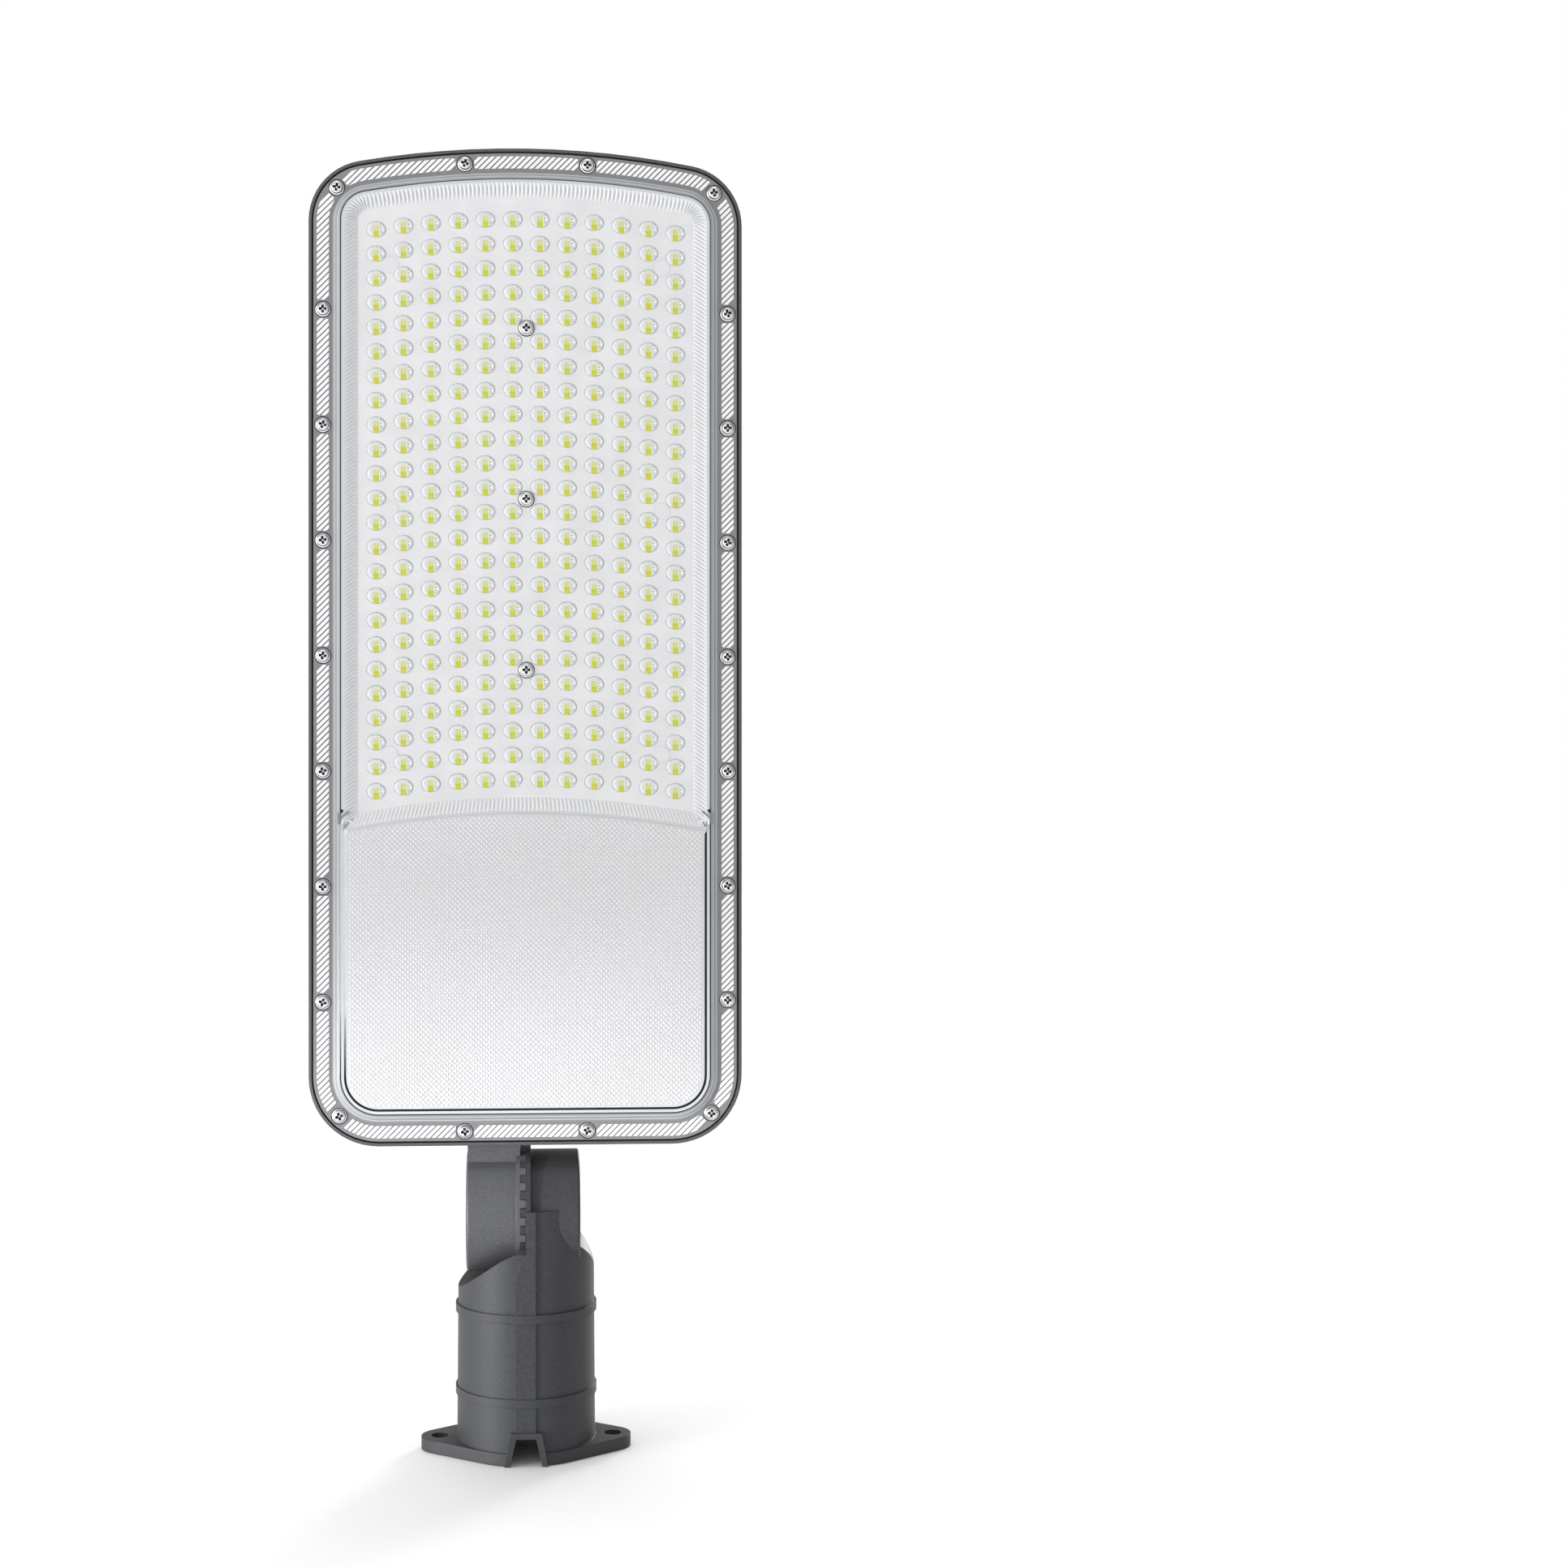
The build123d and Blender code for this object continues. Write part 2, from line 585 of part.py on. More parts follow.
with BuildPart() as bay_edge:
    for depth, edge in ((BAY_SHOULDER_Y, 0), (BAY_BACK_Y, 1)):
        with BuildSketch(at_depth(depth)):
            add(bay_section(1, edge, 0))
    loft(ruled=True)

with BuildPart() as bay_cavity:
    for depth, draft in ((SEAT_Y, 0), (BAY_FLOOR_Y, 1)):
        with BuildSketch(at_depth(depth)):
            add(bay_section(draft, draft * BAY_FLOOR_EDGE, BAY_WALL))
    loft(ruled=True)

with BuildPart() as head_knuckle:
    with BuildSketch(at_pivot(HEAD_DRUM_X)):
        Circle(DRUM_R)
    extrude(amount=HEAD_DRUM_WIDTH)
    fillet(head_knuckle.faces().sort_by(Axis.X)[0].edges(), DRUM_END_FILLET)
    with BuildSketch(at_pivot(HEAD_DISC_X)):
        Circle(SERRATION_R)
    extrude(amount=DISC_THICKNESS)
    with BuildSketch(at_pivot(TEETH_FACE_X)):
        tooth_wedges(0)
        Circle(SERRATION_BORE_R, mode=Mode.SUBTRACT)
    extrude(amount=TOOTH_HEIGHT)

with BuildPart() as head_housing:
    # rim plate with its rounded back edge and sloping front edge
    with BuildSketch(at_depth(RIM_BACK_Y)):
        add(head_outline(0))
    extrude(amount=RIM_THICKNESS)
    fillet(head_housing.faces().sort_by(Axis.Y)[-1].edges(), RIM_BACK_FILLET)
    front = head_housing.faces().sort_by(Axis.Y)[0]
    chamfer(front.edges(), RIM_FRONT_SLOPE[0], RIM_FRONT_SLOPE[1], reference=front)
    # recess for the cover
    with BuildSketch(at_depth(RIM_FRONT_Y)):
        add(head_outline(LIP_WIDTH))
    extrude(amount=-LIP_HEIGHT, mode=Mode.SUBTRACT)
    # cooling channels, fins and side blocks
    add(channels.part, mode=Mode.SUBTRACT)
    add(raised.part)
    # battery bay and photocell pad
    add(bay_root.part)
    add(bay_edge.part)
    with BuildSketch(at_depth(CHANNEL_Y)):
        with Locations((0, SENSOR_PAD_Z)):
            Circle(SENSOR_PAD_R)
    extrude(amount=CHANNEL_Y - SENSOR_PAD_BACK_Y)
    chamfer(head_housing.faces().sort_by(Axis.Y)[-1].edges(), SENSOR_PAD_EDGE)
    # arm down to the knuckle, flush with the back of the bay
    with BuildSketch(Plane.XY.offset(PIVOT_Z)):
        with Locations((ARM_MIDDLE_X, (SEAT_Y + BAY_BACK_Y) / 2)):
            Rectangle(ARM_RIGHT_X - ARM_LEFT_X, BAY_BACK_Y - SEAT_Y)
    extrude(amount=HEAD_RISE + BAY_LOW_MARGIN + BAY_LOW_DRAFT + BAY_EDGE)
    # battery bay, open to the front, with room behind the photocell pad
    add(bay_cavity.part, mode=Mode.SUBTRACT)
    with BuildSketch(at_depth(SEAT_Y)):
        with Locations((0, SENSOR_PAD_Z)):
            Circle(SENSOR_PAD_R - BAY_WALL)
    extrude(amount=SEAT_Y + BAY_WALL - SENSOR_PAD_BACK_Y, mode=Mode.SUBTRACT)
    with BuildSketch(at_depth(BAY_BACK_Y)):
        with Locations((0, LABEL_RECESS_Z)):
            RectangleRounded(LABEL_RECESS[0], LABEL_RECESS[1], LABEL_RECESS[2])
    extrude(amount=LABEL_RECESS[3], mode=Mode.SUBTRACT)
    # tapped holes for the cover, lens and bay plate screws
    for points, radius, deep in (
        (COVER_SCREWS, SCREW_R, SCREW_DEPTH),
        (LENS_SCREWS, SCREW_R, LENS_SCREW_DEPTH),
        (PLATE_SCREWS, BAY_SCREW_R, BAY_SCREW_DEPTH),
    ):
        with BuildSketch(at_depth(SEAT_Y)):
            with Locations(*points):
                Circle(radius + SCREW_RUN)
        extrude(amount=-(deep + SCREW_HOLE_GAP), mode=Mode.SUBTRACT)
    # standoffs for the controller board
    with BuildSketch(at_depth(BAY_FLOOR_Y)):
        with Locations(*STANDOFFS):
            Circle(STANDOFF_R)
            Circle(BAY_SCREW_R + SCREW_RUN, mode=Mode.SUBTRACT)
    extrude(amount=STANDOFF_HEIGHT)
    # knuckle half
    add(head_knuckle.part)
    with BuildSketch(at_pivot(TEETH_FACE_X)):
        Circle(WIRE_CHAMBER_R)
        Circle(WIRE_HUB_R, mode=Mode.SUBTRACT)
    extrude(amount=-HEAD_CHAMBER_DEPTH, mode=Mode.SUBTRACT)
    with BuildSketch(at_pivot(HEAD_DRUM_X)):
        Circle(WASHER_R + WASHER_SIDE_GAP)
    extrude(amount=PIVOT_SEAT_DEPTH, mode=Mode.SUBTRACT)
    with BuildSketch(at_pivot(HEAD_DRUM_X)):
        Circle(PIVOT_BOLT_R + PIVOT_RUN)
    extrude(amount=TEETH_FACE_X - HEAD_DRUM_X, mode=Mode.SUBTRACT)
    # wire hole down the arm, with a seat for its grommet in the bay
    with BuildSketch(Plane.XY.offset(GROMMET_SEAT_Z)):
        with Locations((HEAD_WIRE_X, 0)):
            Circle(WIRE_HOLE_R)
    extrude(amount=PIVOT_Z + WIRE_HUB_R + BAY_WALL - GROMMET_SEAT_Z, mode=Mode.SUBTRACT)
    with BuildSketch(Plane.XY.offset(GROMMET_SEAT_Z)):
        with Locations((HEAD_WIRE_X, 0)):
            Circle(GROMMET_FLANGE_R + FIT)
    extrude(amount=GROMMET_FLANGE_R, mode=Mode.SUBTRACT)
head_housing.part.label = "head_housing"

# ---------------------------------------------------------------- front cover, gasket and screws

with BuildPart() as cover_ridge:
    for depth, inset in ((COVER_FRONT_Y, RIDGE_INSET), (RIDGE_Y, CREST_INSET)):
        with BuildSketch(at_depth(depth)):
            add(head_outline(inset))
    loft(ruled=True)

with BuildPart() as field_dish:
    for depth, inset in ((RIDGE_Y, WINDOW_INSET), (LENS_FRONT_Y, WINDOW_INSET + FLUTE_WIDTH)):
        with BuildSketch(at_depth(depth)):
            add(field_outline(inset))
    loft(ruled=True)

with BuildPart() as lens_cover:
    with BuildSketch(at_depth(COVER_BACK_Y)):
        add(head_outline(COVER_INSET))
    extrude(amount=COVER_THICKNESS)
    add(cover_ridge.part)
    add(field_dish.part, mode=Mode.SUBTRACT)
    # room behind the cover for the light engine and the bay plate
    with BuildSketch(at_depth(COVER_BACK_Y)):
        add(head_outline(COVER_POCKET_INSET))
    extrude(amount=COVER_BACK_Y - LENS_BACK_Y, mode=Mode.SUBTRACT)
    with BuildSketch(at_depth(COVER_BACK_Y)):
        add(panel_outline(WINDOW_INSET + FIT, FIELD_SILL_Z - PANEL_WALL))
    extrude(amount=COVER_BACK_Y - RIDGE_Y - PANEL_WALL, mode=Mode.SUBTRACT)
    # seats and holes for the screws
    with BuildSketch(at_depth(COVER_FRONT_Y)):
        with Locations(*COVER_SCREWS):
            Circle(SCREW_HEAD_R + COVER_SCREW_SEAT_GAP)
    extrude(amount=-COVER_SCREW_SEAT_DEPTH, mode=Mode.SUBTRACT)
    with BuildSketch(at_depth(COVER_BACK_Y)):
        with Locations(*COVER_SCREWS, *LENS_SCREWS):
            Circle(SCREW_R + SCREW_CLEARANCE)
    extrude(amount=COVER_BACK_Y - RIDGE_Y, mode=Mode.SUBTRACT)
lens_cover.part.label = "lens_cover"

with BuildPart() as cover_gasket:
    with BuildSketch(at_depth(SEAT_Y)):
        add(head_outline(GASKET_INSET))
        add(head_outline(GASKET_INSET + GASKET_WIDTH), mode=Mode.SUBTRACT)
        with Locations(*COVER_SCREWS):
            Circle(SCREW_R + 2 * SCREW_CLEARANCE, mode=Mode.SUBTRACT)
    extrude(amount=GASKET_THICKNESS)
cover_gasket.part.label = "cover_gasket"

cover_screws = pan_screws(
    COVER_SCREWS,
    COVER_FRONT_Y + COVER_SCREW_SEAT_DEPTH,
    (SCREW_HEAD_R, SCREW_HEAD_HEIGHT),
    (SCREW_R, SEAT_Y + SCREW_DEPTH),
)
cover_screws.part.label = "cover_screws"

lens_screws = pan_screws(
    LENS_SCREWS,
    LENS_FRONT_Y,
    (SCREW_HEAD_R, SCREW_HEAD_HEIGHT),
    (SCREW_R, SEAT_Y + LENS_SCREW_DEPTH),
)
lens_screws.part.label = "lens_screws"

# ---------------------------------------------------------------- light engine

with BuildPart() as thermal_pad:
    with BuildSketch(at_depth(SEAT_Y)):
        add(field_outline(BOARD_INSET))
        with Locations(*LENS_SCREWS):
            Circle(SCREW_R + SCREW_CLEARANCE, mode=Mode.SUBTRACT)
    extrude(amount=PAD_THICKNESS)
thermal_pad.part.label = "thermal_pad"

with BuildPart() as led_board:
    with BuildSketch(at_depth(PAD_FRONT_Y)):
        add(field_outline(BOARD_INSET))
        with Locations(*LENS_SCREWS):
            Circle(SCREW_R + SCREW_CLEARANCE, mode=Mode.SUBTRACT)
    extrude(amount=BOARD_THICKNESS)
led_board.part.label = "led_board"

with BuildPart() as led_chips:
    with BuildSketch(at_depth(BOARD_FRONT_Y)):
        with Locations(*led_points()):
            Rectangle(LED_SIZE[0], LED_SIZE[1])
    extrude(amount=LED_SIZE[2])
led_chips.part.label = "led_chips"

# ---------------------------------------------------------------- battery bay

with BuildPart() as bay_plate:
    with BuildSketch(at_depth(SEAT_Y)):
        add(panel_outline(BAY_PLATE_INSET, BOARD_SILL_Z - BAY_PLATE_TOP_GAP))
        with Locations(*PLATE_SCREWS):
            Circle(BAY_SCREW_R + SCREW_CLEARANCE, mode=Mode.SUBTRACT)
    extrude(amount=BAY_PLATE_THICKNESS)
bay_plate.part.label = "bay_plate"

bay_plate_screws = pan_screws(
    PLATE_SCREWS,
    BAY_PLATE_FRONT_Y,
    (BAY_SCREW_HEAD_R, BAY_SCREW_HEAD_HEIGHT),
    (BAY_SCREW_R, SEAT_Y + BAY_SCREW_DEPTH),
)
bay_plate_screws.part.label = "bay_plate_screws"

with BuildPart() as battery_cells:
    with BuildSketch(Plane.XY.offset(CELL_LOW_Z)):
        with Locations(*CELL_PLACES):
            Circle(CELL_R)
    extrude(amount=CELL_LENGTH)
battery_cells.part.label = "battery_cells"

with BuildPart() as battery_tray:
    with BuildSketch(Plane.XY.offset(TRAY_LOW_Z)):
        with Locations((0, BAY_FLOOR_Y - TRAY_DEPTH / 2)):
            Rectangle(CELL_PITCH * CELL_COUNT + 2 * TRAY_SIDE, TRAY_DEPTH)
    extrude(amount=TRAY_LENGTH)
    with BuildSketch(Plane.XY.offset(TRAY_LOW_Z + TRAY_SIDE)):
        with Locations(*CELL_PLACES):
            Circle(CELL_R + TRAY_RUN)
    extrude(amount=TRAY_LENGTH - 2 * TRAY_SIDE, mode=Mode.SUBTRACT)
battery_tray.part.label = "battery_tray"

with BuildPart() as cell_links:
    for start, low in ((0, CELL_LOW_Z - LINK_THICKNESS), (1, CELL_LOW_Z + CELL_LENGTH)):
        with BuildSketch(Plane.XY.offset(low)):
            for cell in range(start, CELL_COUNT - 1, 2):
                with Locations((CELL_PLACES[cell][0] + CELL_PITCH / 2, CELL_Y)):
                    Rectangle(CELL_PITCH + LINK_WIDTH, LINK_WIDTH)
        extrude(amount=LINK_THICKNESS)
cell_links.part.label = "cell_links"

with BuildPart() as controller_board:
    with BuildSketch(at_depth(BOARD_SEAT_Y)):
        with Locations(on_board((CONTROLLER_LENGTH / 2, 0))):
            Rectangle(CONTROLLER_LENGTH, CONTROLLER_HEIGHT)
        with Locations(*STANDOFFS):
            Circle(BAY_SCREW_R + SCREW_CLEARANCE, mode=Mode.SUBTRACT)
    extrude(amount=CONTROLLER_THICKNESS)
controller_board.part.label = "controller_board"

controller_screws = pan_screws(
    STANDOFFS,
    CONTROLLER_FRONT_Y,
    (BAY_SCREW_HEAD_R, BAY_SCREW_HEAD_HEIGHT),
    (BAY_SCREW_R, BAY_FLOOR_Y - SCREW_HOLE_GAP),
)
controller_screws.part.label = "controller_screws"

with BuildPart() as controller_parts:
    # toroid choke, capacitors, finned transistor block and the controller chip
    with BuildSketch(at_depth(CONTROLLER_FRONT_Y)):
        with Locations(on_board(CHOKE_PLACE)):
            Circle(CHOKE_R[0])
            Circle(CHOKE_R[1], mode=Mode.SUBTRACT)
    extrude(amount=CHOKE_HEIGHT)
    with BuildSketch(at_depth(CONTROLLER_FRONT_Y)):
        with Locations(on_board(CAPACITOR_PLACE)):
            with GridLocations(CAPACITOR_PITCH, 0, CAPACITOR_COUNT, 1):
                Circle(CAPACITOR_R)
    extrude(amount=CAPACITOR_HEIGHT)
    with BuildSketch(at_depth(CONTROLLER_FRONT_Y)):
        with Locations(on_board(HEATSINK_PLACE)):
            Rectangle(HEATSINK_SIZE[0], HEATSINK_SIZE[1])
    extrude(amount=HEATSINK_SIZE[2])
    with BuildSketch(at_depth(CONTROLLER_FRONT_Y - HEATSINK_SIZE[2])):
        with Locations(on_board(HEATSINK_PLACE)):
            with GridLocations(HEATSINK_SLOT * 2, 0, HEATSINK_SLOTS, 1):
                Rectangle(HEATSINK_SLOT, HEATSINK_SIZE[1])
    extrude(amount=HEATSINK_BASE - HEATSINK_SIZE[2], mode=Mode.SUBTRACT)
    with BuildSketch(at_depth(CONTROLLER_FRONT_Y)):
        with Locations(on_board((CONTROLLER_LENGTH - CHIP_END_GAP, -CHIP_DROP))):
            Rectangle(CHIP_SIZE[0], CHIP_SIZE[1])
    extrude(amount=CHIP_SIZE[2])
controller_parts.part.label = "controller_parts"

with BuildPart() as terminal_block:
    with BuildSketch(at_depth(BAY_FLOOR_Y)):
        with Locations((TERMINAL_X, TERMINAL_Z)):
            Rectangle(TERMINAL_SIZE[0], TERMINAL_SIZE[1])
    extrude(amount=TERMINAL_SIZE[2])
    chamfer(terminal_block.faces().sort_by(Axis.Y)[0].edges().filter_by(Axis.X), TERMINAL_SLOPE)
    with BuildSketch(at_depth(BAY_FLOOR_Y - TERMINAL_SIZE[2])):
        with Locations((TERMINAL_X, TERMINAL_Z)):
            with GridLocations(TERMINAL_SIZE[0] / TERMINAL_WAYS, 0, TERMINAL_WAYS, 1):
                Circle(TERMINAL_HOLE_R)
    extrude(amount=-TERMINAL_HOLE_DEPTH, mode=Mode.SUBTRACT)
terminal_block.part.label = "terminal_block"

with BuildPart() as cable_grommet:
    with BuildSketch(Plane.XZ.move(Location((HEAD_WIRE_X, 0, 0)))):
        with BuildLine():
            Polyline(
                (GROMMET_BORE_R, GROMMET_SEAT_Z - GROMMET_LENGTH),
                (WIRE_HOLE_R - FIT, GROMMET_SEAT_Z - GROMMET_LENGTH),
                (WIRE_HOLE_R - FIT, GROMMET_SEAT_Z),
                (GROMMET_FLANGE_R, GROMMET_SEAT_Z),
                (GROMMET_FLANGE_R, GROMMET_SEAT_Z + GROMMET_FLANGE_THICKNESS / 2),
                (GROMMET_BORE_R + GROMMET_MOUTH, GROMMET_SEAT_Z + GROMMET_FLANGE_THICKNESS),
                (GROMMET_BORE_R, GROMMET_SEAT_Z + GROMMET_FLANGE_THICKNESS),
                close=True,
            )
        make_face()
    revolve(axis=Axis((HEAD_WIRE_X, 0, 0), (0, 0, 1)))
cable_grommet.part.label = "cable_grommet"

# ---------------------------------------------------------------- pivot bolt and its washers

with BuildPart() as pivot_bolt:
    with BuildSketch(at_pivot(SPRING_WASHER_X - PIVOT_HEAD_HEIGHT)):
        Circle(PIVOT_HEAD_R)
    extrude(amount=PIVOT_HEAD_HEIGHT)
    chamfer(pivot_bolt.faces().sort_by(Axis.X)[0].edges(), PIVOT_HEAD_EDGE)
    with BuildSketch(at_pivot(SPRING_WASHER_X)):
        Circle(PIVOT_BOLT_R)
    extrude(amount=PIVOT_BOLT_END_X - SPRING_WASHER_X)
    chamfer(pivot_bolt.faces().sort_by(Axis.X)[-1].edges(), PIVOT_HEAD_EDGE)
    with BuildSketch(at_pivot(SPRING_WASHER_X - PIVOT_HEAD_HEIGHT)):
        RegularPolygon(hex_radius(PIVOT_SOCKET_FLATS), 6)
    extrude(amount=PIVOT_SOCKET_DEPTH, mode=Mode.SUBTRACT)
pivot_bolt.part.label = "pivot_bolt"

with BuildPart() as pivot_washer:
    with BuildSketch(at_pivot(WASHER_X)):
        Circle(WASHER_R)
        Circle(PIVOT_BOLT_R + WASHER_RUN, mode=Mode.SUBTRACT)
    extrude(amount=WASHER_THICKNESS)
pivot_washer.part.label = "pivot_washer"

with BuildPart() as spring_washer:
    with BuildSketch(at_pivot(SPRING_WASHER_X)):
        Circle(SPRING_WASHER_R)
        Circle(PIVOT_BOLT_R + WASHER_RUN, mode=Mode.SUBTRACT)
        with Locations((SPRING_WASHER_R, 0)):
            Rectangle(2 * SPRING_WASHER_R, SPRING_WASHER_SPLIT, mode=Mode.SUBTRACT)
    extrude(amount=SPRING_WASHER_THICKNESS)
spring_washer.part.label = "spring_washer"

# ---------------------------------------------------------------- pole adaptor

with BuildPart() as adaptor_knuckle:
    with BuildSketch(at_pivot(DISC_THICKNESS)):
        Circle(DRUM_R)
    extrude(amount=ADAPTOR_DRUM_WIDTH)
    fillet(adaptor_knuckle.faces().sort_by(Axis.X)[-1].edges(), DRUM_END_FILLET)
    with BuildSketch(at_pivot(0)):
        Circle(SERRATION_R)
    extrude(amount=DISC_THICKNESS)
    with BuildSketch(at_pivot(0)):
        tooth_wedges(180 / TOOTH_COUNT)
        Circle(SERRATION_BORE_R, mode=Mode.SUBTRACT)
    extrude(amount=-TOOTH_HEIGHT)

with BuildPart() as neck:
    # seen from the lit side: saddle side on the left, shoulder and neck on the right
    with BuildSketch(Plane.XZ):
        with BuildLine():
            Polyline(
                (NECK_TOP_WIDTH, NECK_TOP_Z),
                (0, NECK_TOP_Z),
                (0, SADDLE_Z),
                (-TUBE_R, SADDLE_Z),
                (-TUBE_R, SHOULDER_Z),
                (TUBE_R, SHOULDER_Z),
            )
            SagittaArc((TUBE_R, SHOULDER_Z), (ADAPTOR_DRUM_X, SHOULDER_TOP_Z), -SHOULDER_HOLLOW)
            SagittaArc((ADAPTOR_DRUM_X, SHOULDER_TOP_Z), (NECK_TOP_WIDTH, NECK_TOP_Z), NECK_BULGE)
        make_face()
    extrude(amount=TUBE_R, both=True)
    with BuildSketch(Plane.XY.offset(SHOULDER_Z)):
        Circle(TUBE_R)
    extrude(amount=NECK_TOP_Z - SHOULDER_Z, mode=Mode.INTERSECT)

with BuildPart() as pole_adaptor:
    # tapering tube with its two bands
    with BuildSketch(Plane.XZ):
        Polygon((0, 0), (TUBE_R + TUBE_DRAFT, 0), (TUBE_R, SHOULDER_Z), (0, SHOULDER_Z), align=None)
    revolve(axis=Axis.Z)
    for band_z in (BAND_LOW_Z, BAND_HIGH_Z):
        with BuildSketch(Plane.XY.offset(band_z - BAND_HEIGHT / 2)):
            Circle(BAND_R)
        extrude(amount=BAND_HEIGHT)
    add(neck.part)
    # front and back rib, its left edge curving over to the neck
    with BuildSketch(Plane.XZ):
        with BuildLine():
            Polyline(
                (0, SADDLE_Z),
                (0, NECK_TOP_Z),
                (RIB_RIGHT_X, NECK_TOP_Z),
                (RIB_RIGHT_X, 0),
                (RIB_LEFT_X, 0),
                (RIB_LEFT_X, SADDLE_Z - RIB_CURVE_DROP),
            )
            SagittaArc((RIB_LEFT_X, SADDLE_Z - RIB_CURVE_DROP), (0, SADDLE_Z), RIB_CURVE_BULGE)
        make_face()
    extrude(amount=RIB_FRONT_Y, both=True)
    # saddle that the head's drum and arm swing over
    with BuildSketch(at_pivot(-BAND_R)):
        Circle(HEAD_SWEEP_R)
    extrude(amount=BAND_R, mode=Mode.SUBTRACT)
    add(adaptor_knuckle.part)
    # flange with raised lips round its cable notches
    with BuildSketch(Plane.XY):
        Circle(TUBE_R + FLANGE_WAIST_RISE)
        with Locations((FLANGE_TIP_CENTRE_X, 0), (-FLANGE_TIP_CENTRE_X, 0)):
            Circle(FLANGE_TIP_R)
        make_hull()
    extrude(amount=FLANGE_THICKNESS)
    with BuildSketch(Plane.XZ):
        notch_profile(NOTCH_LIP)
    extrude(amount=BAND_R + NOTCH_LIP_RISE, both=True)
    # flat bosses under the clamp screws
    with BuildSketch(at_depth(CLAMP_BOSS_Y)):
        with Locations((0, BAND_LOW_Z), (0, BAND_HIGH_Z)):
            Circle(CLAMP_FLANGE_R + CLAMP_BOSS_EDGE)
    extrude(amount=CLAMP_BOSS_Y - POLE_BORE_R)
    # pole socket, notches, flange holes and clamp screw holes
    with BuildSketch(Plane.XY):
        Circle(POLE_BORE_R)
    extrude(amount=POLE_BORE_DEPTH, mode=Mode.SUBTRACT)
    with BuildSketch(Plane.XZ):
        notch_profile(0)
    extrude(amount=2 * BAND_R, both=True, mode=Mode.SUBTRACT)
    with Locations(Location((0, 0, FLANGE_THICKNESS))):
        with GridLocations(FLANGE_HOLE_SPACING, 0, 2, 1):
            Hole(FLANGE_HOLE_R, FLANGE_THICKNESS)
    with BuildSketch(at_depth(CLAMP_BOSS_Y)):
        with Locations((0, BAND_LOW_Z), (0, BAND_HIGH_Z)):
            Circle(CLAMP_R + SCREW_RUN)
    extrude(amount=CLAMP_BOSS_Y - POLE_BORE_R + TUBE_WALL, mode=Mode.SUBTRACT)
    # wire chamber, its hole down to the socket, bolt bore and nut pocket
    with BuildSketch(at_pivot(0)):
        Circle(WIRE_CHAMBER_R)
        Circle(WIRE_HUB_R, mode=Mode.SUBTRACT)
    extrude(amount=ADAPTOR_CHAMBER_DEPTH, mode=Mode.SUBTRACT)
    with BuildSketch(Plane.XY.offset(POLE_BORE_DEPTH)):
        with Locations((ADAPTOR_CHAMBER_DEPTH / 2, 0)):
            Circle(WIRE_HOLE_R)
    extrude(amount=PIVOT_Z - WIRE_HUB_R - BAY_WALL - POLE_BORE_DEPTH, mode=Mode.SUBTRACT)
    with BuildSketch(at_pivot(0)):
        Circle(PIVOT_BOLT_R + PIVOT_RUN)
    extrude(amount=ADAPTOR_DRUM_X, mode=Mode.SUBTRACT)
    with BuildSketch(at_pivot(NUT_X)):
        RegularPolygon(hex_radius(NUT_FLATS + 2 * FIT), 6)
    extrude(amount=ADAPTOR_DRUM_X - NUT_X, mode=Mode.SUBTRACT)
pole_adaptor.part.label = "pole_adaptor"

with BuildPart() as pivot_nut:
    with BuildSketch(at_pivot(NUT_X)):
        RegularPolygon(hex_radius(NUT_FLATS), 6)
        Circle(PIVOT_BOLT_R + SCREW_RUN, mode=Mode.SUBTRACT)
    extrude(amount=NUT_HEIGHT)
pivot_nut.part.label = "pivot_nut"

# ---------------------------------------------------------------- clamp screws


def clamp_screw(z):
    """A flange-head screw through the back of the tube at height z, its tip short of the pole."""
    seat_y = CLAMP_BOSS_Y + CLAMP_BACKED_OFF
    top_y = seat_y + CLAMP_FLANGE_THICKNESS + CLAMP_HEAD_HEIGHT
    with BuildPart() as screw:
        with BuildSketch(at_depth(top_y)):
            with Locations((0, z)):
                Circle(CLAMP_HEAD_R)
        extrude(amount=CLAMP_HEAD_HEIGHT)
        chamfer(screw.faces().sort_by(Axis.Y)[-1].edges(), SCREW_HEAD_EDGE)
        with BuildSketch(at_depth(seat_y + CLAMP_FLANGE_THICKNESS)):
            with Locations((0, z)):
                Circle(CLAMP_FLANGE_R)
        extrude(amount=CLAMP_FLANGE_THICKNESS)
        with BuildSketch(at_depth(seat_y)):
            with Locations((0, z)):
                Circle(CLAMP_R)
        extrude(amount=seat_y - POLE_BORE_R - CLAMP_TIP_GAP)
        with BuildSketch(at_depth(top_y)):
            with Locations((0, z)):
                RegularPolygon(hex_radius(CLAMP_SOCKET_FLATS), 6)
        extrude(amount=CLAMP_SOCKET_DEPTH, mode=Mode.SUBTRACT)
    return screw


clamp_screw_lower = clamp_screw(BAND_LOW_Z)
clamp_screw_lower.part.label = "clamp_screw_lower"
clamp_screw_upper = clamp_screw(BAND_HIGH_Z)
clamp_screw_upper.part.label = "clamp_screw_upper"

# ---------------------------------------------------------------- files

os.makedirs("parts", exist_ok=True)
for piece in (
    head_housing,
    lens_cover,
    cover_gasket,
    cover_screws,
    lens_screws,
    thermal_pad,
    led_board,
    led_chips,
    bay_plate,
    bay_plate_screws,
    battery_cells,
    battery_tray,
    cell_links,
    controller_board,
    controller_screws,
    controller_parts,
    terminal_block,
    cable_grommet,
    pivot_bolt,
    pivot_washer,
    spring_washer,
    pole_adaptor,
    pivot_nut,
    clamp_screw_lower,
    clamp_screw_upper,
):
    export_step(piece.part, f"parts/{piece.part.label}.step")
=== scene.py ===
import math

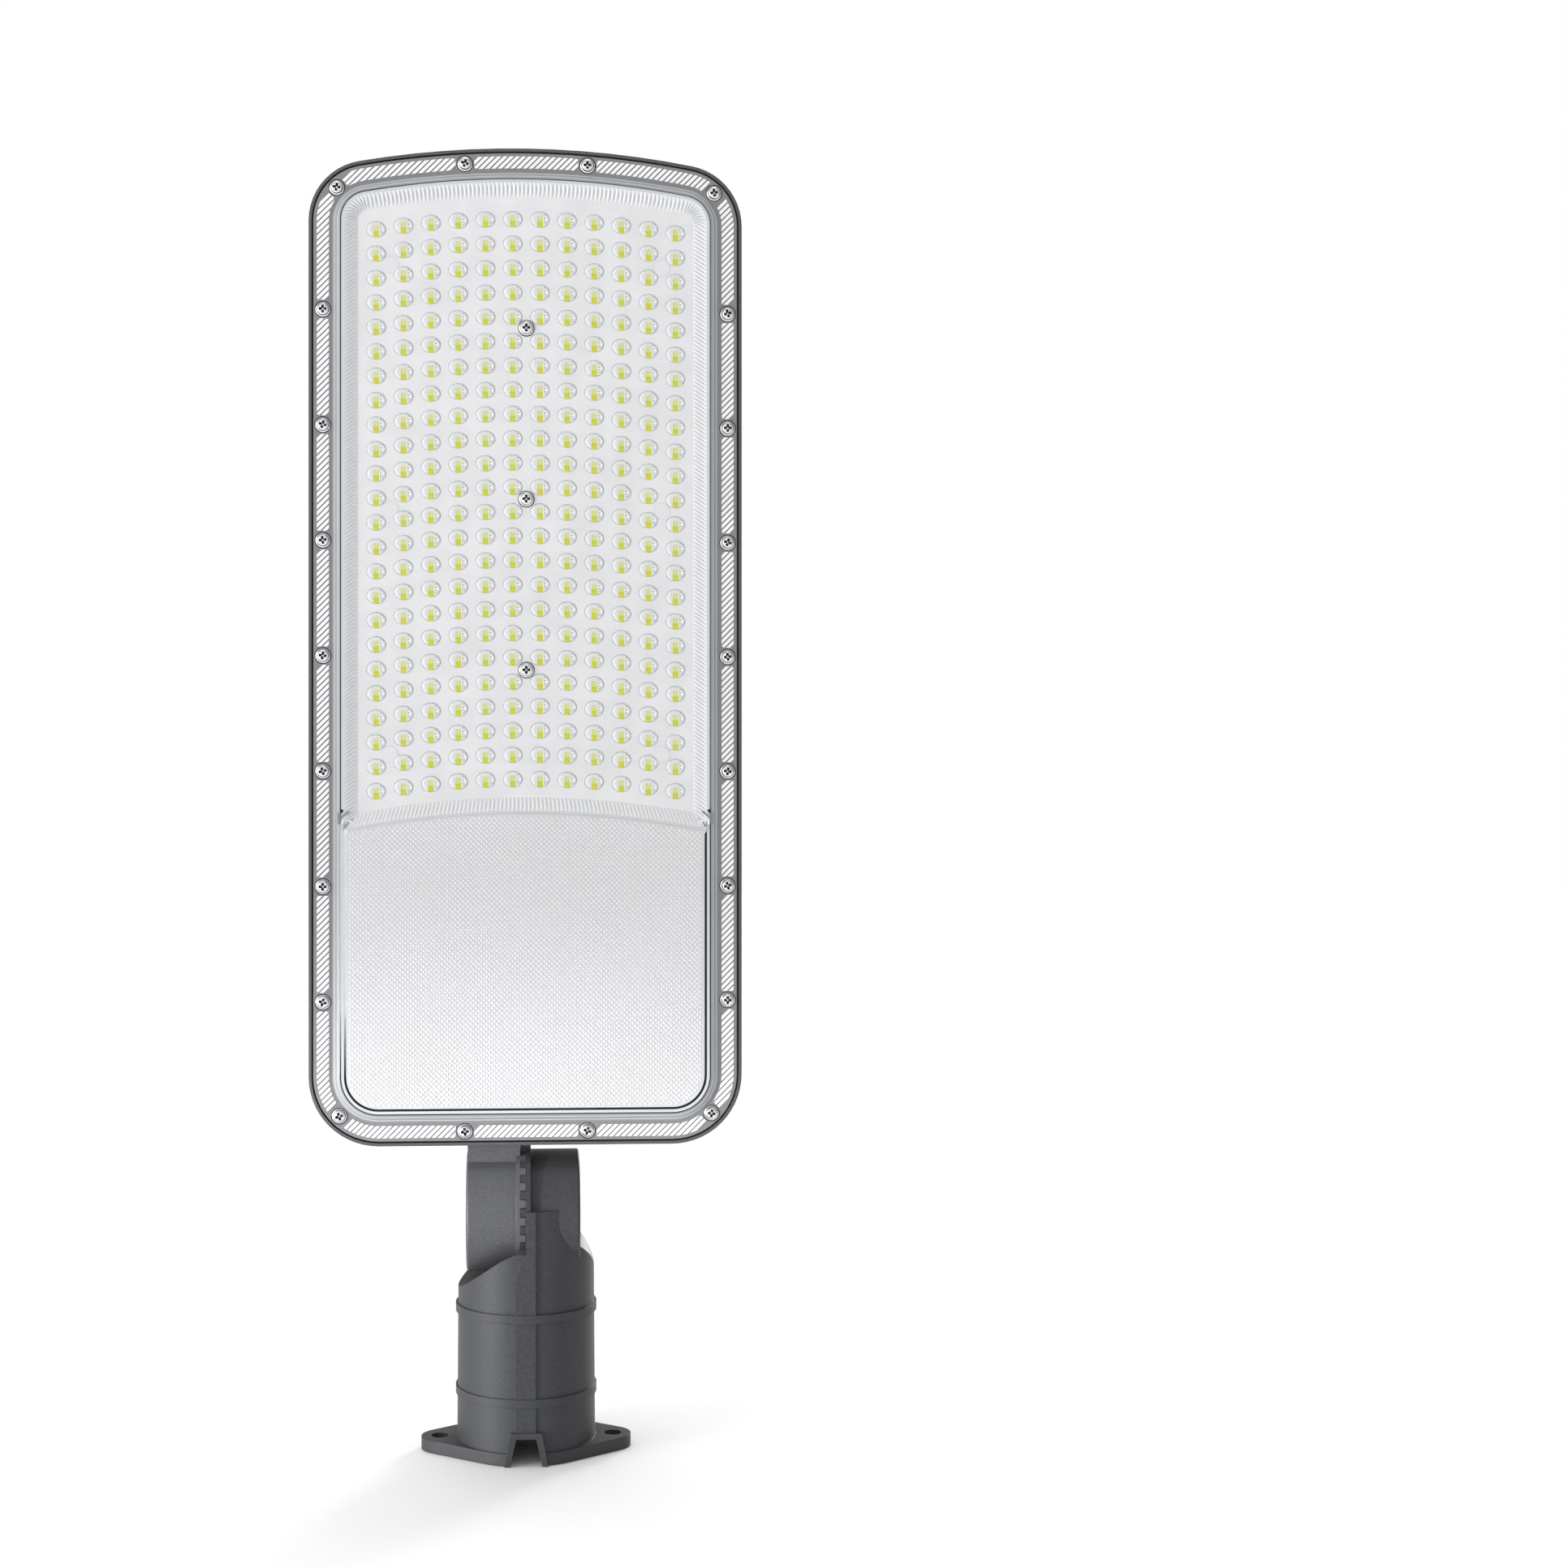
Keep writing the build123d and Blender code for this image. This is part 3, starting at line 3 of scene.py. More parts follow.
import bmesh
import bpy
import numpy as np
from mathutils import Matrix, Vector


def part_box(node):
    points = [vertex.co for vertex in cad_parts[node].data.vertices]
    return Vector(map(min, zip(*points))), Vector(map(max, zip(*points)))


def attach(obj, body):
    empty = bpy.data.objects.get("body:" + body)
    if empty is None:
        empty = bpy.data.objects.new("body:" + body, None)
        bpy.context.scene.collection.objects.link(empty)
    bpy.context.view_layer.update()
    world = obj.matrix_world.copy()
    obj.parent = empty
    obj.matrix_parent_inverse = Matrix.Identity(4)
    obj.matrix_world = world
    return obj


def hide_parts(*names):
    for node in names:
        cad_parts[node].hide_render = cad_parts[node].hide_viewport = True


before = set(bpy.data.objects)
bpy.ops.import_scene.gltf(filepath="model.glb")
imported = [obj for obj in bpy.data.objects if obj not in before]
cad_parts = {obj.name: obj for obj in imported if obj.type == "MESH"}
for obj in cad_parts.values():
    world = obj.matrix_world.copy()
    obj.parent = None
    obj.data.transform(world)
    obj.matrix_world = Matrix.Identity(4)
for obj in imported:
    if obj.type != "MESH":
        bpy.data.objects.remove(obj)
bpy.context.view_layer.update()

MM = 0.001
QUARTER = math.pi / 2

# -------- sizes in millimetres

# head outline, from the cover's box
COVER_INSET = 2.4
TOP_ARC_R = 470.0
TOP_CORNER_R = 31.0
BOTTOM_CORNER_R = 35.5
OUTLINE_STEP = 3.0

# cover, as insets from the head outline
SEAL_INSET = 1.75
HATCH_OUTER = 4.1
HATCH_INNER = 10.4
RIDGE_FOOT = 12.1
RIDGE_CREST = 16.0
GROOVE_OUTER = 16.1
GROOVE_INNER = 16.7
CREST_INNER = 18.1

# cover, across its section; the lower step's points count from the ridge's foot, the upper one's from its crest
SEAL_RISE = 1.2
COVER_THICKNESS = 3.0
LOWER_STEP = ((0.9, 0.9), (1.2, 0.95))
UPPER_STEP = ((1.3, 0.75), (1.0, 0.7))
GROOVE_DEPTH = 0.9
GROOVE_DRAFT = 0.1
GROOVE_FADE = 6.0
EDGE = 0.4

# hatching; the shortest rib is counted in samples
HATCH_RISE = 3.1
HATCH_HALF_WIDTH = 0.74
HATCH_HEIGHT = 0.35
HATCH_EDGE = 0.12
HATCH_STOP = 4.6
HATCH_REACH = 8.0
HATCH_SAMPLE = 0.12
HATCH_SHORTEST = 6

# fluted wall and light field; the flutes fade over 1 / FLUTE_FADE of the wall at each edge
FLUTE_WIDTH = 7.0
FLUTE_PITCH = 2.1
FLUTE_DEPTH = 0.4
FLUTE_STEPS = 6
FLUTE_ROWS = 8
FLUTE_FADE = 4
FLUTE_SLANT = 5.5
SILL_FLUTE_SHARE = 0.65
FIELD_LENGTH = 319.0
FIELD_LOW_CORNER_R = 4.3
FIELD_STEP = 2.0
LENS_THICKNESS = 2.0
LENS_FRONT_DROP = 2.5

# lower window
PANEL_SILL_GAP = 0.05
PANEL_BACK = 3.0
PANEL_GROOVE = 1.1
PANEL_GROOVE_DEPTH = 1.3
PANEL_EDGE = 0.2
PANEL_STEP = 2.5
PANEL_PITCH = 2.645
PANEL_RELIEF = 0.36
PANEL_DROP = 0.25
PRISM_SHARE = 0.9
CLIP_DEPTH = 0.6

# LEDs and their lenses
LED_COLUMNS = 12
LED_ROWS = 24
LED_COLUMN_PITCH = 13.8
LED_ROW_PITCH = 12.37
LED_TOP_DROP = 37.3
LENS_HALF_WIDTH = 4.95
LENS_HALF_HEIGHT = 4.2
LENS_HEIGHT = 0.85
LENS_RISE = 1.0
LENS_SHOULDER = 3.2
LENS_ROUNDNESS = 0.6
LENS_SEGMENTS = 24
LENS_FOOT_SHARE = 0.98
LENS_FOOT_RISE = 0.1
LENS_RINGS = (0.985, 0.93, 0.8, 0.62, 0.42, 0.2)
LENS_SADDLE = 0.2
LENS_SADDLE_WIDTH = 2.1
PHOSPHOR_HALF_WIDTH = 1.5
PHOSPHOR_HALF_HEIGHT = 2.8
PHOSPHOR_EDGE = 0.25

# moulding pads
PAD_R = 4.4
PAD_X = 68.9
PAD_RISE = 28.8
PAD_PITCH = 124.0
PAD_ROWS = 3
PAD_DEPTH = 0.3
PAD_SHOULDER = 0.1
PAD_EDGE = 0.3
PAD_HEIGHT = 0.14
PAD_FACE_INSET = 0.45
PAD_FACE_HEIGHT = 0.16
PAD_SEGMENTS = 32

# screws: the skirt is (inset, depth) rings, the dome (radius, depth) rings, the cross's floor shares of its
# radius; depths count from the front of the head
SCREW_SHANK_R = 2.0
SCREW_SHANK_LENGTH = 5.5
SCREW_HEAD_R = 3.75
SCREW_HEAD_HEIGHT = 2.4
SCREW_SKIRT = ((0.0, 1.6), (0.35, 1.4))
SCREW_DOME_R = 3.2
SCREW_DOME_DEPTH = 1.3
SCREW_DOME = ((3.0, 0.8), (2.8, 0.35), (2.5, 0.1), (2.3, 0.0))
SCREW_SEAT_R = 4.25
SCREW_SEAT_DEPTH = 1.0
SCREW_SEAT_ROOM = 1.0
SCREW_SEAT_SEGMENTS = 28
SCREW_TURN = 0.14
WASHER_R = 4.2
WASHER_THICKNESS = 0.3
CROSS_HALF_WIDTH = 0.64
CROSS_REACH = 2.0
CROSS_DEPTH = 1.2
CROSS_FLOOR = (0.72, 0.3)
COVER_SCREW_INSET = 7.25
SIDE_SCREWS = 7
SIDE_SCREW_PITCH = 58.45
SIDE_SCREW_RISE = 73.3
END_SCREW_X = 31.1
LENS_SCREW_PITCH = 86.85
LENS_SCREW_RISE = 71.7
LENS_SCREWS = 3

# floor
FLOOR_HALF_WIDTH = 6000.0
FLOOR_DROP = 0.5
FLOOR_THICKNESS = 10.0

# -------- studio and soft edges, in metres and degrees, the camera's sensor and lens in millimetres

CAMERA_PLACE = (0.0, -1.167, 0.342)
CAMERA_TURN = -3.36
CAMERA_SENSOR = 36.0
CAMERA_LENS = 51.71
CAMERA_SHIFT = 0.08
WORLD_LEFT = 0.74
WORLD_RIGHT = 0.4
CAST_EDGE = 0.0006
TURNED_EDGE = 0.0002

# -------- places from the frame


def box_mm(node):
    """A CAD node's lowest and highest corner, in millimetres."""
    low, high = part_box(node)
    return low / MM, high / MM


cover_low, cover_high = box_mm("lens_cover")
HALF_WIDTH = cover_high.x + COVER_INSET
HEAD_LOW = cover_low.z - COVER_INSET
HEAD_TOP = cover_high.z + COVER_INSET
COVER_BACK_Y = cover_high.y
COVER_FRONT_Y = COVER_BACK_Y - COVER_THICKNESS
RIDGE_Y = cover_low.y
LENS_FRONT_Y = RIDGE_Y + LENS_FRONT_DROP
ARC_CENTRE_Z = HEAD_TOP - TOP_ARC_R
FIELD_SILL = HEAD_TOP - CREST_INNER - FIELD_LENGTH

# centres of the head's corner arcs, and the angle at which the upper ones meet the top arc
LOW_X = HALF_WIDTH - BOTTOM_CORNER_R
LOW_Z = HEAD_LOW + BOTTOM_CORNER_R
TOP_X = HALF_WIDTH - TOP_CORNER_R
TOP_Z = ARC_CENTRE_Z + math.sqrt((TOP_ARC_R - TOP_CORNER_R) ** 2 - TOP_X**2)
TOP_TILT = math.atan2(TOP_Z - ARC_CENTRE_Z, TOP_X)

# -------- outlines, as (point, inward normal) samples


def arc_drop(x):
    """How far the top arc has fallen at x from its crown."""
    return TOP_ARC_R - math.sqrt(TOP_ARC_R**2 - x * x)


def line_samples(start, end, normal, step):
    """Samples along a straight run, without its end."""
    start, end, normal = np.array(start), np.array(end), np.array(normal)
    count = max(1, round(math.dist(start, end) / step))
    return [(start + (end - start) * i / count, normal) for i in range(count)]


def arc_samples(centre, radius, begin, finish, step, outward=False):
    """Samples along an arc about centre from angle begin to finish, without its end."""
    count = max(3, round(abs(finish - begin) * radius / step))
    angles = [begin + (finish - begin) * i / count for i in range(count)]
    rays = [np.array((math.cos(angle), math.sin(angle))) for angle in angles]
    return [(np.array(centre) + radius * ray, ray if outward else -ray) for ray in rays]


def head_path():
    """The head's outline, anticlockwise seen from the lit side, from the left end of its foot."""
    long, short = OUTLINE_STEP, OUTLINE_STEP / 2
    return (
        line_samples((-LOW_X, HEAD_LOW), (LOW_X, HEAD_LOW), (0, 1), long)
        + arc_samples((LOW_X, LOW_Z), BOTTOM_CORNER_R, -QUARTER, 0, short)
        + line_samples((HALF_WIDTH, LOW_Z), (HALF_WIDTH, TOP_Z), (-1, 0), long)
        + arc_samples((TOP_X, TOP_Z), TOP_CORNER_R, 0, TOP_TILT, short)
        + arc_samples((0, ARC_CENTRE_Z), TOP_ARC_R, TOP_TILT, math.pi - TOP_TILT, long)
        + arc_samples((-TOP_X, TOP_Z), TOP_CORNER_R, math.pi - TOP_TILT, math.pi, short)
        + line_samples((-HALF_WIDTH, TOP_Z), (-HALF_WIDTH, LOW_Z), (1, 0), long)
        + arc_samples((-LOW_X, LOW_Z), BOTTOM_CORNER_R, math.pi, 3 * QUARTER, short)
    )


def field_path(step):
    """The LED field's outline at the crest's inner edge, closed below by an arc like the top one."""
    half = HALF_WIDTH - CREST_INNER
    top_r = TOP_CORNER_R - CREST_INNER
    arc_r = TOP_ARC_R - CREST_INNER
    sill_z = FIELD_SILL - TOP_ARC_R
    low_r = FIELD_LOW_CORNER_R
    low_x = half - low_r
    low_z = sill_z + math.sqrt((TOP_ARC_R + low_r) ** 2 - low_x**2)
    fall = math.atan2(low_z - sill_z, low_x)
    return (
        arc_samples((0, sill_z), TOP_ARC_R, math.pi - fall, fall, step, outward=True)
        + arc_samples((low_x, low_z), low_r, fall - math.pi, 0, step)
        + line_samples((half, low_z), (half, TOP_Z), (-1, 0), step)
        + arc_samples((TOP_X, TOP_Z), top_r, 0, TOP_TILT, step)
        + arc_samples((0, ARC_CENTRE_Z), arc_r, TOP_TILT, math.pi - TOP_TILT, step)
        + arc_samples((-TOP_X, TOP_Z), top_r, math.pi - TOP_TILT, math.pi, step)
        + line_samples((-half, TOP_Z), (-half, low_z), (1, 0), step)
        + arc_samples((-low_x, low_z), low_r, math.pi, 2 * math.pi - fall, step)
    )


def panel_path(step):
    """The lower window's outline inside the crest, closed above along the field's sill."""
    half = HALF_WIDTH - CREST_INNER
    corner_r = BOTTOM_CORNER_R - CREST_INNER
    foot_z = HEAD_LOW + CREST_INNER
    sill_z = FIELD_SILL - PANEL_SILL_GAP - TOP_ARC_R
    side_z = sill_z + math.sqrt(TOP_ARC_R**2 - half**2)
    tilt = math.atan2(side_z - sill_z, half)
    return (
        line_samples((-LOW_X, foot_z), (LOW_X, foot_z), (0, 1), step)
        + arc_samples((LOW_X, LOW_Z), corner_r, -QUARTER, 0, step)
        + line_samples((half, LOW_Z), (half, side_z), (-1, 0), step)
        + arc_samples((0, sill_z), TOP_ARC_R, tilt, math.pi - tilt, step)
        + line_samples((-half, side_z), (-half, LOW_Z), (1, 0), step)
        + arc_samples((-LOW_X, LOW_Z), corner_r, math.pi, 3 * QUARTER, step)
    )


def head_inset(x, z):
    """How far points lie inside the head's outline, for numbers or arrays."""
    x = np.abs(x)
    inset = np.minimum(HALF_WIDTH - x, z - HEAD_LOW)
    low_corner = (x > LOW_X) & (z < LOW_Z)
    inset = np.where(low_corner, BOTTOM_CORNER_R - np.hypot(x - LOW_X, z - LOW_Z), inset)
    inset = np.minimum(inset, TOP_ARC_R - np.hypot(x, z - ARC_CENTRE_Z))
    angle = np.arctan2(z - TOP_Z, x - TOP_X)
    top_corner = (angle > 0) & (angle < TOP_TILT)
    return np.where(top_corner, TOP_CORNER_R - np.hypot(x - TOP_X, z - TOP_Z), inset)


def head_inset_at(x, z):
    """How far one point lies inside the head's outline."""
    return float(head_inset(x, z))


def sill_drop(x, z):
    """How far a point lies below the sill of the LED field."""
    return FIELD_SILL - arc_drop(x) - z


def cover_screw_points():
    """Where the 22 screws round the cover stand, as (x, z)."""
    arm = (BOTTOM_CORNER_R - COVER_SCREW_INSET) * math.sqrt(0.5)
    top_arm = (TOP_CORNER_R - COVER_SCREW_INSET) * math.sqrt(0.5)
    crown = math.sqrt((TOP_ARC_R - COVER_SCREW_INSET) ** 2 - END_SCREW_X**2)
    rises = [SIDE_SCREW_RISE + i * SIDE_SCREW_PITCH for i in range(SIDE_SCREWS)]
    right = [(HALF_WIDTH - COVER_SCREW_INSET, HEAD_LOW + rise) for rise in rises]
    right += [(LOW_X + arm, LOW_Z - arm), (TOP_X + top_arm, TOP_Z + top_arm)]
    right += [(END_SCREW_X, HEAD_LOW + COVER_SCREW_INSET), (END_SCREW_X, ARC_CENTRE_Z + crown)]
    return [(side * x, z) for side in (-1, 1) for x, z in right]


def lens_screw_points():
    """Where the screws on the centre line stand, as (x, z)."""
    return [(0, FIELD_SILL + LENS_SCREW_RISE + i * LENS_SCREW_PITCH) for i in range(LENS_SCREWS)]


def led_points():
    """Where the LEDs sit, as (x, z)."""
    columns = [(i - (LED_COLUMNS - 1) / 2) * LED_COLUMN_PITCH for i in range(LED_COLUMNS)]
    top = HEAD_TOP - LED_TOP_DROP
    return [(x, top - row * LED_ROW_PITCH - arc_drop(x)) for row in range(LED_ROWS) for x in columns]


# -------- mesh helpers


class Soup:
    """Vertices in millimetres with faces, a material index per face and a local (u, v) per vertex."""

    def __init__(self):
        self.verts, self.faces, self.slots, self.uvs = [], [], [], []

    def add(self, verts, faces, slots=0, uvs=None):
        """Adds vertices and faces; slots is one material index, or a list with one for each face."""
        start = len(self.verts)
        self.verts += [tuple(v) for v in verts]
        self.uvs += uvs or [(0.0, 0.0)] * len(verts)
        self.faces += [tuple(start + i for i in face) for face in faces]
        self.slots += [slots] * len(faces) if isinstance(slots, int) else slots


def new_mesh(name, soup):
    """A mesh in metres from a soup."""
    mesh = bpy.data.meshes.new(name)
    mesh.from_pydata([(x * MM, y * MM, z * MM) for x, y, z in soup.verts], [], soup.faces)
    return mesh


def add_object(name, data):
    """An object in the scene, for a mesh, a light or a camera."""
    thing = bpy.data.objects.new(name, data)
    bpy.context.scene.collection.objects.link(thing)
    return thing


def outward_normals(mesh):
    """Turns the faces of each shell outwards."""
    bm = bmesh.new()
    bm.from_mesh(mesh)
    bmesh.ops.recalc_face_normals(bm, faces=bm.faces)
    bm.to_mesh(mesh)
    bm.free()


def make_piece(name, soup, body, slot, materials, smooth=True, sharp=35):
    """A mesh object from a soup, riding on a body."""
    mesh = new_mesh(name, soup)
    for material in materials:
        mesh.materials.append(material)
    mesh.polygons.foreach_set("material_index", soup.slots)
    layer = mesh.uv_layers.new(name="local")
    loops = np.zeros(len(mesh.loops), dtype=np.int32)
    mesh.loops.foreach_get("vertex_index", loops)
    layer.data.foreach_set("uv", np.array(soup.uvs, dtype=np.float32)[loops].ravel())
    mesh.polygons.foreach_set("use_smooth", [smooth] * len(mesh.polygons))
    mesh.validate()
    piece = add_object(name, mesh)
    outward_normals(mesh)
    if smooth:
        mesh.set_sharp_from_angle(angle=math.radians(sharp))
    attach(piece, body)
    return piece


def cover_piece(name, soup, materials, **look):
    """A piece of the cover's clear plastic."""
    return make_piece(name, soup, "head", "lens_plastic", materials, **look)


def bands(rings, count):
    """The faces between closed rings of count vertices that follow each other."""
    faces = []
    for j in range(rings - 1):
        for i in range(count):
            a, b, k = j * count, (j + 1) * count, (i + 1) % count
            faces.append((a + i, a + k, b + k, b + i))
    return faces


def ends(rings, count):
    """The faces that close the first and the last ring."""
    return [tuple(range(count)), tuple((rings - 1) * count + i for i in range(count))]


def ring(soup, path, profile):
    """A closed ring: the profile carried round the path, its ends joined.

    Each row of the profile is (inset, y, material of the stretch that follows it).
    """
    count, width = len(path), len(profile)
    verts = [(p[0] + n[0] * inset, y, p[1] + n[1] * inset) for p, n in path for inset, y, _ in profile]
    faces = []
    for j in range(width):
        following = (j + 1) % width
        for i in range(count):
            a, b = i * width, (i + 1) % count * width
            faces.append((a + j, b + j, b + following, a + following))
    soup.add(verts, faces, [slot for *_, slot in profile for _ in range(count)])


def slab(soup, path, profile, cap, lift):
    """A closed plate: the profile carried round the path, with a face across each end.

    Each row of the profile is (inset, y, material of the stretch that follows it); lift moves a y at a
    point of the path.
    """
    count, rings = len(path), len(profile)
    verts = []
    for inset, y, _ in profile:
        verts += [(p[0] + n[0] * inset, lift(p, y), p[1] + n[1] * inset) for p, n in path]
    slots = [slot for *_, slot in profile[:-1] for _ in range(count)] + [cap, cap]
    soup.add(verts, bands(rings, count) + ends(rings, count), slots)


def oval(centre, half_width, half_height, count):
    """Points round an oval, as (x, z)."""
    turns = [2 * math.pi * i / count for i in range(count)]
    return [(centre[0] + half_width * math.cos(a), centre[1] + half_height * math.sin(a)) for a in turns]


def lathe(soup, centre, profile, segments, slot=0):
    """A solid of revolution about the Y axis through centre: (radius, y) rings, closed at both ends."""
    verts = [(x, y, z) for radius, y in profile for x, z in oval(centre, radius, radius, segments)]
    soup.add(verts, bands(len(profile), segments) + ends(len(profile), segments), slot)


def prism(soup, outline, front, back, slot=0):
    """A closed prism along the depth: an outline of (x, z) points from front to back."""
    count = len(outline)
    verts = [(x, y, z) for y in (front, back) for x, z in outline]
    faces = [tuple(range(count)), tuple(range(2 * count - 1, count - 1, -1))]
    faces += [(i, i + count, (i + 1) % count + count, (i + 1) % count) for i in range(count)]
    soup.add(verts, faces, slot)


def carve(piece, soup):
    """Cuts the soup's closed shells out of a piece."""
    mesh = new_mesh("cutter", soup)
    cutter = add_object("cutter", mesh)
    outward_normals(mesh)
    modifier = piece.modifiers.new("carve", "BOOLEAN")
    modifier.operation = "DIFFERENCE"
    modifier.solver = "EXACT"
    modifier.object = cutter
    graph = bpy.context.evaluated_depsgraph_get()
    carved = bpy.data.meshes.new_from_object(piece.evaluated_get(graph))
    piece.modifiers.clear()
    piece.data = carved
    bpy.data.objects.remove(cutter)


# -------- material helpers


class Tree:
    """The node tree of a material or the world, with short names for what this scene builds."""

    def __init__(self, name, kind="materials", shader="Principled BSDF"):
        self.owner = getattr(bpy.data, kind).new(name)
        self.owner.use_nodes = True
        self.nodes = self.owner.node_tree.nodes
        self.links = self.owner.node_tree.links
        self.shader = self.nodes[shader]
        coords = self.node("TexCoord")
        self.place = coords.outputs["Object"]
        self.local = coords.outputs["UV"]
        self.ray = coords.outputs["Generated"]

    def set(self, **values):
        """Sets uniform values on the shader's own sockets."""
        for name, value in values.items():
            self.shader.inputs[name.replace("_", " ")].default_value = value

    def join(self, source, target):
        """Links a socket, or gives a value, to a socket or to the shader's socket of that name."""
        if isinstance(target, str):
            target = self.shader.inputs[target]
        if hasattr(source, "links"):
            self.links.new(source, target)
        else:
            target.default_value = source

    def node(self, kind, **inputs):
        """A new node with its inputs joined by name."""
        node = self.nodes.new("ShaderNode" + kind)
        for name, source in inputs.items():
            self.join(source, node.inputs[name])
        return node

    def math(self, operation, a, b=0.0):
        node = self.node("Math")
        node.operation = operation
        self.join(a, node.inputs[0])
        self.join(b, node.inputs[1])
        return node.outputs[0]

    def noise(self, scale, detail=2.0, roughness=0.5, vector=None):
        vector = vector or self.place
        node = self.node("TexNoise", Vector=vector, Scale=scale, Detail=detail, Roughness=roughness)
        return node.outputs["Fac"]

    def voronoi(self, scale, vector=None):
        return self.node("TexVoronoi", Vector=vector or self.place, Scale=scale).outputs["Distance"]

    def stretch(self, scale):
        return self.node("Mapping", Vector=self.place, Scale=scale).outputs["Vector"]

    def spread(self, value, low, high, to_low=0.0, to_high=1.0):
        """Maps low to to_low and high to to_high, and holds them beyond."""
        limits = {"From Min": low, "From Max": high, "To Min": to_low, "To Max": to_high}
        return self.node("MapRange", Value=value, **limits).outputs["Result"]

    def paint(self, colour):
        self.join(colour, "Base Color")

    def rough(self, source, low, high):
        """A roughness that follows a noise."""
        self.join(self.spread(source, 0.3, 0.7, low, high), "Roughness")

    def blend(self, factor, first, second):
        """The first colour turning into the second as the factor goes from 0 to 1."""
        node = self.node("Mix")
        node.data_type = "RGBA"
        self.join(factor, node.inputs["Factor"])
        self.join(first, node.inputs["A"])
        self.join(second, node.inputs["B"])
        return node.outputs["Result"]

    def both(self, a, b):
        """Where two masks meet."""
        return self.math("MULTIPLY", a, b)

    def bump(self, height, distance, strength, normal=None):
        """Raises the surface by a height, over a normal if there is one."""
        node = self.node("Bump", Height=height, Distance=distance, Strength=strength)
        if normal is not None:
            self.join(normal, node.inputs["Normal"])
        self.join(node.outputs["Normal"], "Normal")

    def soft_edges(self, radius):
        """A normal that rounds the edges off."""
        node = self.node("Bevel", Radius=radius)
        node.samples = 4
        return node.outputs["Normal"]

    def parts(self, vector):
        """A vector's x, y and z."""
        return self.node("SeparateXYZ", Vector=vector).outputs


def grey(value):
    """A linear grey."""
    return (value, value, value, 1.0)


def tone(red, green, blue):
    """A screen colour of 0 to 255 as the linear colour that shaders use."""
    linear = [((c / 255 + 0.055) / 1.055) ** 2.4 if c > 10 else c / 3294 for c in (red, green, blue)]
    return (*linear, 1.0)


def scaled(colour, factor):
    """A colour made darker or lighter by a factor."""
    return (*[c * factor for c in colour[:3]], 1.0)


def powder_coat(name, colour):
    """Cast metal under a fine-grained powder coat."""
    tree = Tree(name)
    cloud = tree.noise(14)
    grain = tree.math("ADD", tree.noise(1300, 2, 0.6), tree.noise(3200, 2, 0.6))
    grain = tree.math("MULTIPLY", grain, 0.5)
    lighter = scaled(colour, 1.3)
    base = tree.blend(tree.spread(grain, 0.38, 0.62), scaled(colour, 0.74), lighter)
    tree.paint(tree.blend(tree.spread(cloud, 0.35, 0.7, 0.0, 0.2), base, lighter))
    tree.join(tree.spread(grain, 0.38, 0.62, 0.46, 0.6), "Roughness")
    tree.set(Metallic=0.3, Specular_IOR_Level=0.25)
    tree.bump(grain, 0.00016, 0.6, tree.soft_edges(CAST_EDGE))
    return tree.owner


def steel(name, colour, rough):
    """Bright turned steel with fine scratches."""
    tree = Tree(name)
    streaks = tree.noise(900, 3, 0.6, tree.stretch((1.0, 1.0, 6.0)))
    tree.paint(tree.blend(tree.spread(streaks, 0.3, 0.7), scaled(colour, 0.8), colour))
    tree.rough(streaks, rough - 0.06, rough + 0.1)
    tree.set(Metallic=1.0)
    tree.bump(streaks, 0.00004, 0.4, tree.soft_edges(TURNED_EDGE))
    return tree.owner


def moulded(name, colour, rough, grain_scale=1800, grain_height=0.00005, coat=0.0, cloud=0.93):
    """Moulded plastic or rubber: a fine surface grain with slight clouding."""
    tree = Tree(name)
    grain = tree.noise(grain_scale)
    clouds = tree.noise(30)
    tree.paint(tree.blend(tree.spread(clouds, 0.35, 0.65), scaled(colour, cloud), colour))
    tree.rough(grain, rough - 0.05, rough + 0.07)
    tree.set(Coat_Weight=coat)
    tree.bump(grain, grain_height, 0.5)
    return tree.owner


def groove_painted_shading(name, upper_left, upper_right, lower_left, lower_right):
    """The bottom of a groove, with painted light and shade set by place: its shade differs beside the field and
    round the lower window, the far left painted paler than the right and the bottom.
    """
    tree = Tree(name)
    x, _, z = tree.parts(tree.place)
    # masks that place the painted light and shade: the far left, below the sill, and above the bottom corners
    left = tree.spread(x, -0.5 * HALF_WIDTH * MM, -0.7 * HALF_WIDTH * MM)
    below = tree.spread(z, FIELD_SILL * MM, (FIELD_SILL - GROOVE_FADE) * MM)
    clear = tree.spread(z, LOW_Z * MM, (LOW_Z + BOTTOM_CORNER_R) * MM)
    upper = tree.blend(left, upper_right, upper_left)
    lower = tree.blend(tree.both(left, clear), lower_right, lower_left)
    tree.paint(tree.blend(below, upper, lower))
    tree.rough(tree.noise(1800), 0.45, 0.57)
    return tree.owner


def solder_mask(name, colour, rough):
    """A circuit board: solder mask over faint copper tracks."""
    tree = Tree(name)
    tracks = tree.voronoi(160)
    speck = tree.noise(1500)
    tree.paint(tree.blend(tree.spread(tracks, 0.02, 0.1), scaled(colour, 0.94), colour))
    tree.rough(speck, rough - 0.04, rough + 0.06)
    tree.bump(tree.spread(tracks, 0.02, 0.12), 0.00003, 0.4)
    return tree.owner


def frosted_sheet(name):
    """The clear sheet between the lenses, milky from the white board close behind it."""
    tree = Tree(name)
    waves = tree.noise(55)
    fine = tree.noise(1400)
    tree.paint(tree.blend(tree.spread(waves, 0.3, 0.7), tone(227, 227, 229), tone(231, 231, 233)))
    tree.join(tree.spread(waves, 0.3, 0.7, 0.92, 0.96), "Alpha")
    tree.rough(fine, 0.2, 0.3)
    tree.set(Coat_Weight=0.2)
    tree.bump(fine, 0.00003, 0.3)
    return tree.owner


